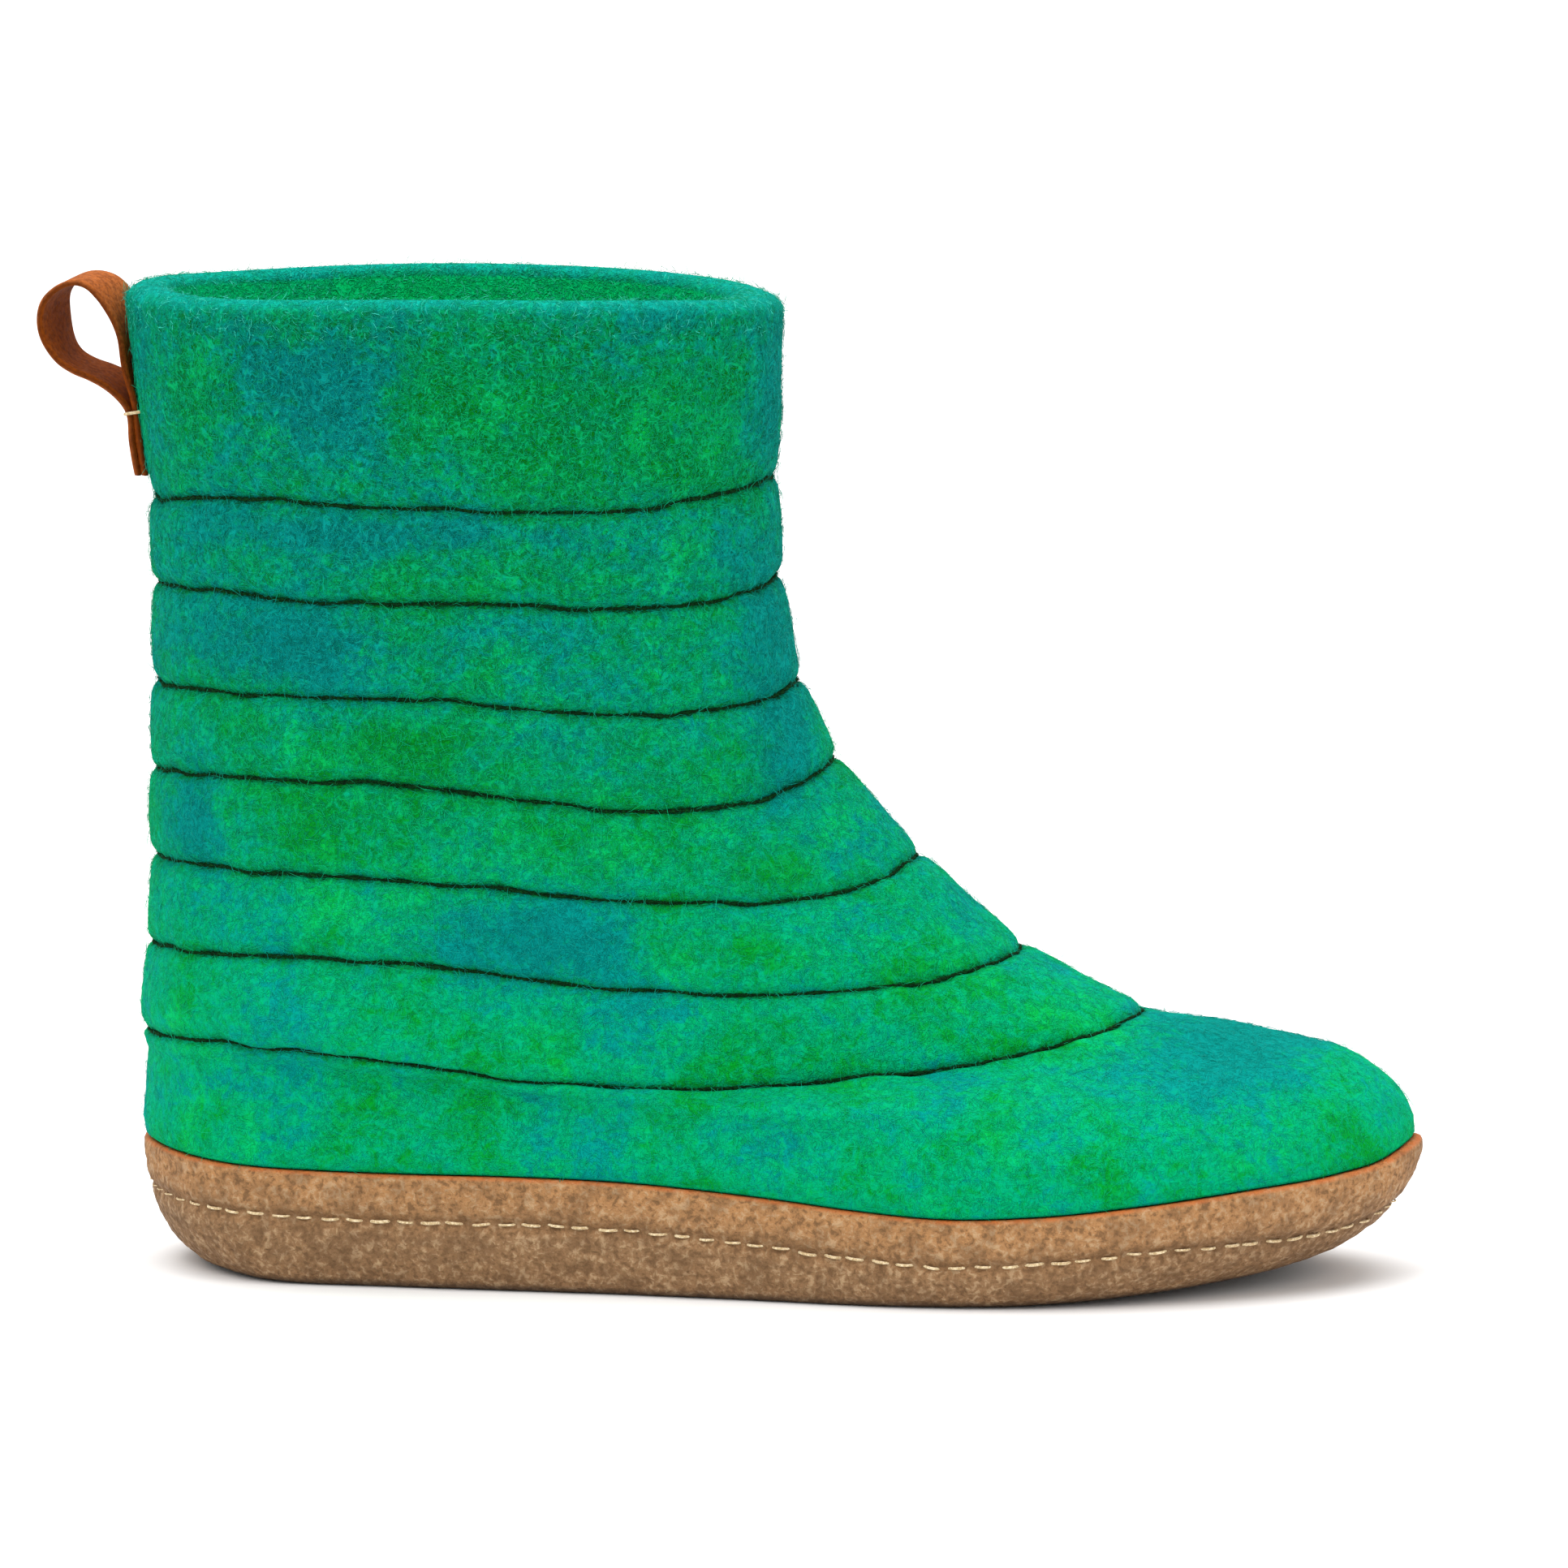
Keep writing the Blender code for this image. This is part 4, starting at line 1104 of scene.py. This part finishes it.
def build_yarn(seams, normals):
    """Two-ply yarn lying in each furrow, thicker and thinner as wool is."""
    points, faces, start = [], [], 0
    fuzz = []
    for seam, normal in zip(seams, normals):
        path, at, length = along_path(seam - normal * YARN_SINK, YARN_STEP)
        turned = along_path(normal, YARN_STEP)[0]
        out = read_at(at / length, np.linspace(0, 1, len(turned)), turned)
        up = np.cross(np.roll(path, -1, axis=0) - np.roll(path, 1, axis=0), out)
        up /= np.linalg.norm(up, axis=1, keepdims=True)
        lumps = YARN_LUMPS["share"] * field(path, YARN_LUMPS["size"])
        thick = np.clip(1 + lumps, YARN_LUMPS["least"], YARN_LUMPS["most"])
        fuzz.append(yarn_hairs(path, out, up, YARN_HAIRS // len(seams)))
        turns = round(length / YARN_TWIST)
        for ply in (0.0, math.pi):
            angle = 2 * math.pi * turns * at / length + ply
            centre = path + (out * np.cos(angle)[:, None] + up * np.sin(angle)[:, None]) * PLY_OFFSET
            tube, quads = closed_tube(centre, YARN_SIDES, PLY_RADIUS * thick)
            points.append(tube)
            faces.append(quads + start)
            start += len(tube)
    material = yarn_material()
    piece = add_mesh("furrow_yarn", np.concatenate(points), [np.concatenate(faces)], material)
    paths = np.concatenate(fuzz)
    radii = np.full(paths.shape[:2], HAIR_RADIUS)
    piece = add_tubes("furrow_yarn_hairs", paths, HAIR_SIDES, radii, material)


def fading(distance, reach, end):
    """1 near by, fading to 0 at the end, which is given as a share of the reach."""
    return np.clip(end - distance / reach, 0.0, 1.0)


def build_sole(way):
    """The cup sole with its pebbled side and the channel that its thread lies in."""
    heights = np.linspace(0.0, 1.0, SIDE_RINGS) ** SIDE_CROWDING * SIDE_TOP
    outer = [sole_ring(way, height) for height in heights]
    outer.append(rim_ring(way, 0.0, -LIP_ROUND))
    lip = [rim_ring(way, LIP_ROUND * 0.35, -LIP_ROUND * 0.25), rim_ring(way, LIP_ROUND, 0.0)]
    lip.append(rim_ring(way, LIP_THICKNESS, 0.0))
    cup = [cup_ring(way, height) for height in CUP_SIDE_RINGS]
    side = np.array(outer + lip[:2])
    normals = outward(side)
    below = rim_height(way) - side[..., 2]
    channel = CHANNEL_DEPTH * np.exp(-((below - stitch_drop(way)) / CHANNEL_WIDTH) ** 2)
    pebbles = sum(row["height"] * field(side, row["size"]) for row in PEBBLES)
    above = side[..., 2] - underside(side[..., 0])
    fade = np.clip(above / PEBBLE_FADE, 0.0, 1.0) * np.clip(below / PEBBLE_FADE, 0.0, 1.0)
    side = side + normals * (pebbles * fade - channel)[..., None]
    rings = list(side) + lip[2:] + cup[::-1]
    points = np.concatenate(rings)
    piece = add_mesh("crepe_sole", points, capped(len(rings), way.count), crepe_material())
    depth = np.tile(rim_height(way), len(rings)) - points[:, 2]
    on_side = np.arange(len(points)) < side.shape[0] * way.count
    rise = points[:, 2] - underside(points[:, 0])
    from_line = depth - np.tile(stitch_drop(way), len(rings)) + CHANNEL_WIDTH / 2
    # high: warmer tan at the top, darker below as painted shade; channel: painted shade in the stitch
    # channel; ground: painted contact shadow, also dirt
    paint(piece, edge=fading(depth, EDGE_TINT, 1.1), high=fading(depth, STITCH_DROP, 1.3),
          channel=on_side * np.exp(-(from_line / CHANNEL_WIDTH) ** 2),
          ground=on_side * fading(rise, GROUND_TINT, 1.6))
    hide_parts("sole")


def build_sole_thread(way):
    """One line of lock stitches round the sole, each dipping into the rubber at its ends. They are
    pulled in harder, and so look thinner, round the toe and the heel."""
    high = rim_height(way) - stitch_drop(way)
    rows = np.array([sole_ring(way, height) for height in np.linspace(0.02, 1.0, LINE_ROWS)])
    line = []
    for column in range(way.count):
        line.append([np.interp(high[column], rows[:, column, 2], rows[:, column, axis]) for axis in range(3)])
    line = np.array(line)
    fine, at, length = along_path(line, LINE_STEP)
    along = np.roll(fine, -1, axis=0) - np.roll(fine, 1, axis=0)
    out = np.cross(along, [0.0, 0.0, 1.0])
    out /= np.linalg.norm(out, axis=1, keepdims=True)
    count = round(length / STITCH_PITCH)
    dips = np.array(STITCH_ARCH) * STITCH_DIP
    spread = np.linspace(-0.5, 0.5, len(dips))
    paths, ends = [], []
    for number in range(count):
        middle = length * number / count + rng.normal(0, STITCH_WANDER["along"])
        long = STITCH_LENGTH * rng.uniform(*STITCH_CHANCE["length"])
        place = (middle + spread * long) % length
        path = read_at(place, at, fine, period=length)
        path = path + read_at(place, at, out, period=length) * (dips - STITCH_BED)[:, None]
        path[:, 2] += spread * rng.normal(0, STITCH_WANDER["tilt"]) + STITCH_WANDER["up"] * rng.normal()
        paths.append(path)
        ends.append((SOLE_LENGTH / 2 - abs(path[0, 0])) / STITCH_FADE)
    radii = np.full((count, len(dips)), STITCH_RADIUS) * rng.uniform(*STITCH_CHANCE["radius"], (count, 1))
    radii *= np.clip(ends, STITCH_LEAST, 1.0)[:, None]
    piece = add_tubes("sole_thread", np.array(paths), THREAD_SIDES, radii, thread_material())


def build_insole(way):
    rings = []
    steps = ((0.0, 1.0), (0.3, 0.3), (1.0, 0.0), (-1.0, 0.0), (-0.3, 0.3), (0.0, 1.0))
    for k, (rise, rounded) in enumerate(steps):
        level = cup_ring(way, 0.0, CLEARANCE, FEATHER_WIDTH + CLEARANCE + INSOLE_ROUND * rounded)
        level[:, 2] += INSOLE_ROUND * rise + (INSOLE_THICKNESS if k > 2 else 0.0)
        rings.append(level)
    faces = capped(len(rings), way.count)
    piece = add_mesh("felt_insole", np.concatenate(rings), faces, insole_material())
    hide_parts("insole")


def strap_outline():
    """The strap's section: across from -1 to 1 on its outer face and back on its inner face, with
    the edges rounded off, and how far each point stands off the middle (-1 to 1)."""
    even = np.linspace(-1, 1, STRAP_COLUMNS + 1)
    crowded = np.sin(even * math.pi / 2)
    across = crowded * STRAP_EDGE["crowding"]
    across += even * (1 - STRAP_EDGE["crowding"])
    off = np.clip((1 - np.abs(across)) / STRAP_EDGE["round"], 0.0, 1.0)
    off = STRAP_EDGE["least"] + (1 - STRAP_EDGE["least"]) * np.sqrt(1 - (1 - off) ** 2)
    return np.concatenate([across, across[::-1]]), np.concatenate([off, -off[::-1]])


def build_pull_loop(outside):
    """The leather strap, a little cupped and rippled where it is free."""
    out, up = loop_centre_line()
    run_out, run_up = np.gradient(out), np.gradient(up)
    length = np.hypot(run_out, run_up)
    across, off = strap_outline()
    y = across * STRAP_WIDTH / 2
    left, right = LOOP_SIDE_SHIFT - STRAP_WIDTH / 2, LOOP_SIDE_SHIFT + STRAP_WIDTH / 2
    sections, wear, cut = [], [], []
    for k in range(STRAP_STEPS):
        free = min(max(up[k] / (LOOP_RISE / 2), 0.0), 1.0)
        free = free * free * (3 - 2 * free)
        shift = off * (STRAP_THICKNESS + (1 - free) * CLEARANCE * TAIL_GAP_FILLED) / 2
        z = LOOP_SEAM_HEIGHT + up[k] + shift * run_out[k] / length[k]
        behind = out[k] - shift * run_up[k] / length[k]
        seat = shaft_back(outside, z, LOOP_SIDE_SHIFT)
        lean = shaft_back(outside, z, right) - shaft_back(outside, z, left)
        straight = seat + lean * y / STRAP_WIDTH
        hugging = shaft_back(outside, z, LOOP_SIDE_SHIFT + y)
        back = hugging + (straight - hugging) * free
        wave = np.sin(k * STRAP_RIPPLE["along"] + across * STRAP_RIPPLE["across"])
        x = back - behind + free * STRAP_RIPPLE["height"] * wave
        beside = LOOP_SIDE_SHIFT + y * (1 - STRAP_NARROWING * free)
        sections.append(np.stack([x, beside, z], axis=-1))
        turned = min(max((k / STRAP_STEPS - STRAP_WEAR["start"]) / STRAP_WEAR["grows_over"], 0.0), 1.0)
        wear.append((off > 0) * turned * (STRAP_WEAR["lying"] + (1 - STRAP_WEAR["lying"]) * free))
        edge = np.clip((np.abs(across) - STRAP_CUT["start"]) / STRAP_CUT["grows_over"], 0.0, 1.0)
        cut.append(edge * STRAP_CUT["darkness"])
    width = len(across)
    points = np.concatenate(sections)
    quads = skin(STRAP_STEPS, width, closed=False)
    last = (STRAP_STEPS - 1) * width
    i = np.arange(STRAP_COLUMNS)
    tail = np.stack([i, width - 1 - i, width - 2 - i, i + 1], axis=-1)
    quads = np.concatenate([quads, tail, tail[:, ::-1] + last])
    piece = add_mesh("leather_loop", points, [quads], leather_material())
    paint(piece, wear=np.concatenate(wear), cut=np.concatenate(cut))
    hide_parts("pull_loop")


def spread_over(rings, count, least=1.0):
    """Places at random over a stack of rings: points, normals and directions round. They are even by
    area, or thinner towards the sole, where the least share of them is left."""
    rings = np.array(rings)
    normals = outward(rings)
    step = np.linalg.norm(np.roll(rings, -1, axis=1) - rings, axis=2)[:-1]
    rise = np.linalg.norm(np.diff(rings, axis=0), axis=2)
    height = np.clip(rings[:-1, :, 2] / COLLAR_HEIGHT, 0.0, 1.0)
    weight = (step * rise * (least + (1 - least) * height)).ravel()
    cell = rng.choice(len(weight), count, p=weight / weight.sum())
    row, column = np.divmod(cell, rings.shape[1])
    beside = (column + 1) % rings.shape[1]
    u, v = rng.random((2, count, 1))
    low = rings[row, column] * (1 - u) + rings[row, beside] * u
    high = rings[row + 1, column] * (1 - u) + rings[row + 1, beside] * u
    along = rings[row, beside] - rings[row, column]
    along /= np.linalg.norm(along, axis=1, keepdims=True)
    return low * (1 - v) + high * v, normals[row, column], along


def build_hairs(outside, inside):
    """Loose wool: curly hairs that lie on the felt, pale ones on the collar's crest and a few that
    stand off the boot."""
    def by_kind(name):
        return np.repeat([row[name] for row in HAIR_KINDS], counts)

    counts = [row["count"] for row in HAIR_KINDS]
    crest = outside[-3:] + inside[:len(COLLAR_EDGE) + 2]
    whole = outside[FIRST_STANDING_RING:] + inside[:len(COLLAR_EDGE)]
    places = (
        spread_over(outside[FIRST_HAIRY_RING:], counts[0], FOOT_HAIR_SHARE),
        spread_over(crest, counts[1]),
        spread_over(whole, counts[2]),
    )
    root, normal, along = [np.concatenate(each) for each in zip(*places)]
    count = sum(counts)
    heading = rng.uniform(0, 2 * math.pi, count)
    curl = rng.normal(0, 1.0, count) * by_kind("curl")
    even = HAIR_CHANCE["evenness"]
    length = np.clip(rng.gamma(even, 1 / even, count), *HAIR_CHANCE["length"]) * by_kind("length")
    lift = by_kind("lift") * rng.uniform(*HAIR_CHANCE["lift"], count)
    beside = np.cross(normal, along)
    paths = np.zeros((count, HAIR_POINTS, 3))
    for k, share in enumerate(np.linspace(0.0, 1.0, HAIR_POINTS)):
        place = share * length
        angle = heading + curl * place / 2
        flat = (along * np.cos(angle)[:, None] + beside * np.sin(angle)[:, None]) * place[:, None]
        rise = np.sin(lift) * place + HAIR_ARCH * math.sin(math.pi * share)
        paths[:, k] = root + flat * np.cos(lift)[:, None] + normal * rise[:, None]
    paths += rng.normal(0, HAIR_KINK, paths.shape)
    radii = np.full((count, HAIR_POINTS), HAIR_RADIUS) * rng.uniform(*HAIR_CHANCE["radius"], (count, 1))
    tone = np.clip(rng.beta(2.0, 2.0, count) * HAIR_TONE_SPREAD + by_kind("tone"), 0.0, 1.0)
    material = hair_material()
    order = rng.permutation(count)
    for number in range(math.ceil(count / HAIRS_IN_A_PIECE)):
        part = order[number * HAIRS_IN_A_PIECE:(number + 1) * HAIRS_IN_A_PIECE]
        name = f"wool_hairs_{number + 1}"
        piece = add_tubes(name, paths[part], HAIR_SIDES, radii[part], material)
        size = len(piece.data.vertices) // len(part)
        paint(piece, tone=np.repeat(tone[part], size), tint=np.repeat(wool_of(root[part])[0], size),
              shaft=np.repeat(up_the_shaft(root[part]), size))


def build_loop_thread(outside):
    """A whip stitch round each edge of the strap, from its outer face into the felt."""
    behind = CLEARANCE * 2 + STRAP_THICKNESS * 2 + THREAD_RADIUS / 2
    inwards = np.array(LOOP_STITCH["inwards"])
    depth = np.array(LOOP_STITCH["depth"])
    paths = []
    for side in (-1, 1):
        y = LOOP_SIDE_SHIFT + side * (STRAP_WIDTH / 2 - inwards)
        tilt = np.linspace(-1, 1, len(y)) * rng.normal(0, STITCH_TILT)
        z = LOOP_SEAM_HEIGHT - LOOP_STITCH_DROP + tilt
        within = np.clip(y, LOOP_SIDE_SHIFT - STRAP_WIDTH / 2, LOOP_SIDE_SHIFT + STRAP_WIDTH / 2)
        x = shaft_back(outside, z, within) - behind + depth
        paths.append(np.stack([x, y, z], axis=-1))
    radii = np.full((len(paths), len(inwards)), THREAD_RADIUS)
    piece = add_tubes("loop_thread", np.array(paths), THREAD_SIDES, radii, thread_material())


def build_stage():
    """A plain pale floor, soft light and the standard view transform."""
    world = bpy.data.worlds.new("studio")
    bpy.context.scene.world = world
    world.use_nodes = True
    background = world.node_tree.nodes["Background"]
    background.inputs["Color"].default_value = (1.0, 1.0, 1.0, 1.0)
    background.inputs["Strength"].default_value = WORLD_STRENGTH
    bpy.ops.mesh.primitive_plane_add(size=FLOOR_SIZE, location=FLOOR_PLACE)
    floor = bpy.context.object
    floor.name = "floor"
    n = Nodes("floor")
    speckle = n.noise(0.4, 2.0)
    floor.data.materials.append(n.finish(n.mix(speckle, (0.90, 0.90, 0.90), (0.93, 0.93, 0.93)), 0.9))
    for row in LAMPS:
        lamp = bpy.data.lights.new(row["name"], "AREA")
        lamp.size = row["size"]
        lamp.energy = row["power"]
        light = bpy.data.objects.new(row["name"], lamp)
        light.location = row["place"]
        way = Vector(LAMP_TARGET) - Vector(row["place"])
        light.rotation_euler = way.to_track_quat("-Z", "Y").to_euler()
        bpy.context.scene.collection.objects.link(light)
    bpy.context.scene.view_settings.view_transform = "Standard"


def build_camera():
    """A long lens at the photograph's angle."""
    azimuth, elevation = math.radians(CAMERA["azimuth"]), math.radians(CAMERA["elevation"])
    level = math.cos(elevation)
    back = Vector((math.sin(azimuth) * level, -math.cos(azimuth) * level, math.sin(elevation)))
    lens = bpy.data.cameras.new("camera")
    lens.sensor_width = SENSOR_WIDTH
    lens.lens = CAMERA["lens"]
    lens.clip_end = CLIP_END
    camera = bpy.data.objects.new("camera", lens)
    camera.location = Vector(CAMERA["target"]) + back * CAMERA["distance"]
    camera.rotation_euler = (-back).to_track_quat("-Z", "Y").to_euler()
    bpy.context.scene.collection.objects.link(camera)
    bpy.context.scene.camera = camera


build_camera()
build_stage()
felt_way = Round(FELT_AROUND)
outside, inside, seams, seam_normals, near_seam = felt_surface(felt_way)
build_upper(outside, inside, near_seam)
build_yarn(seams, seam_normals)
sole_way = Round(SOLE_AROUND)
build_sole(sole_way)
build_sole_thread(sole_way)
build_insole(Round(INSOLE_AROUND))
build_pull_loop(outside)
build_loop_thread(outside)
build_hairs(outside, inside)
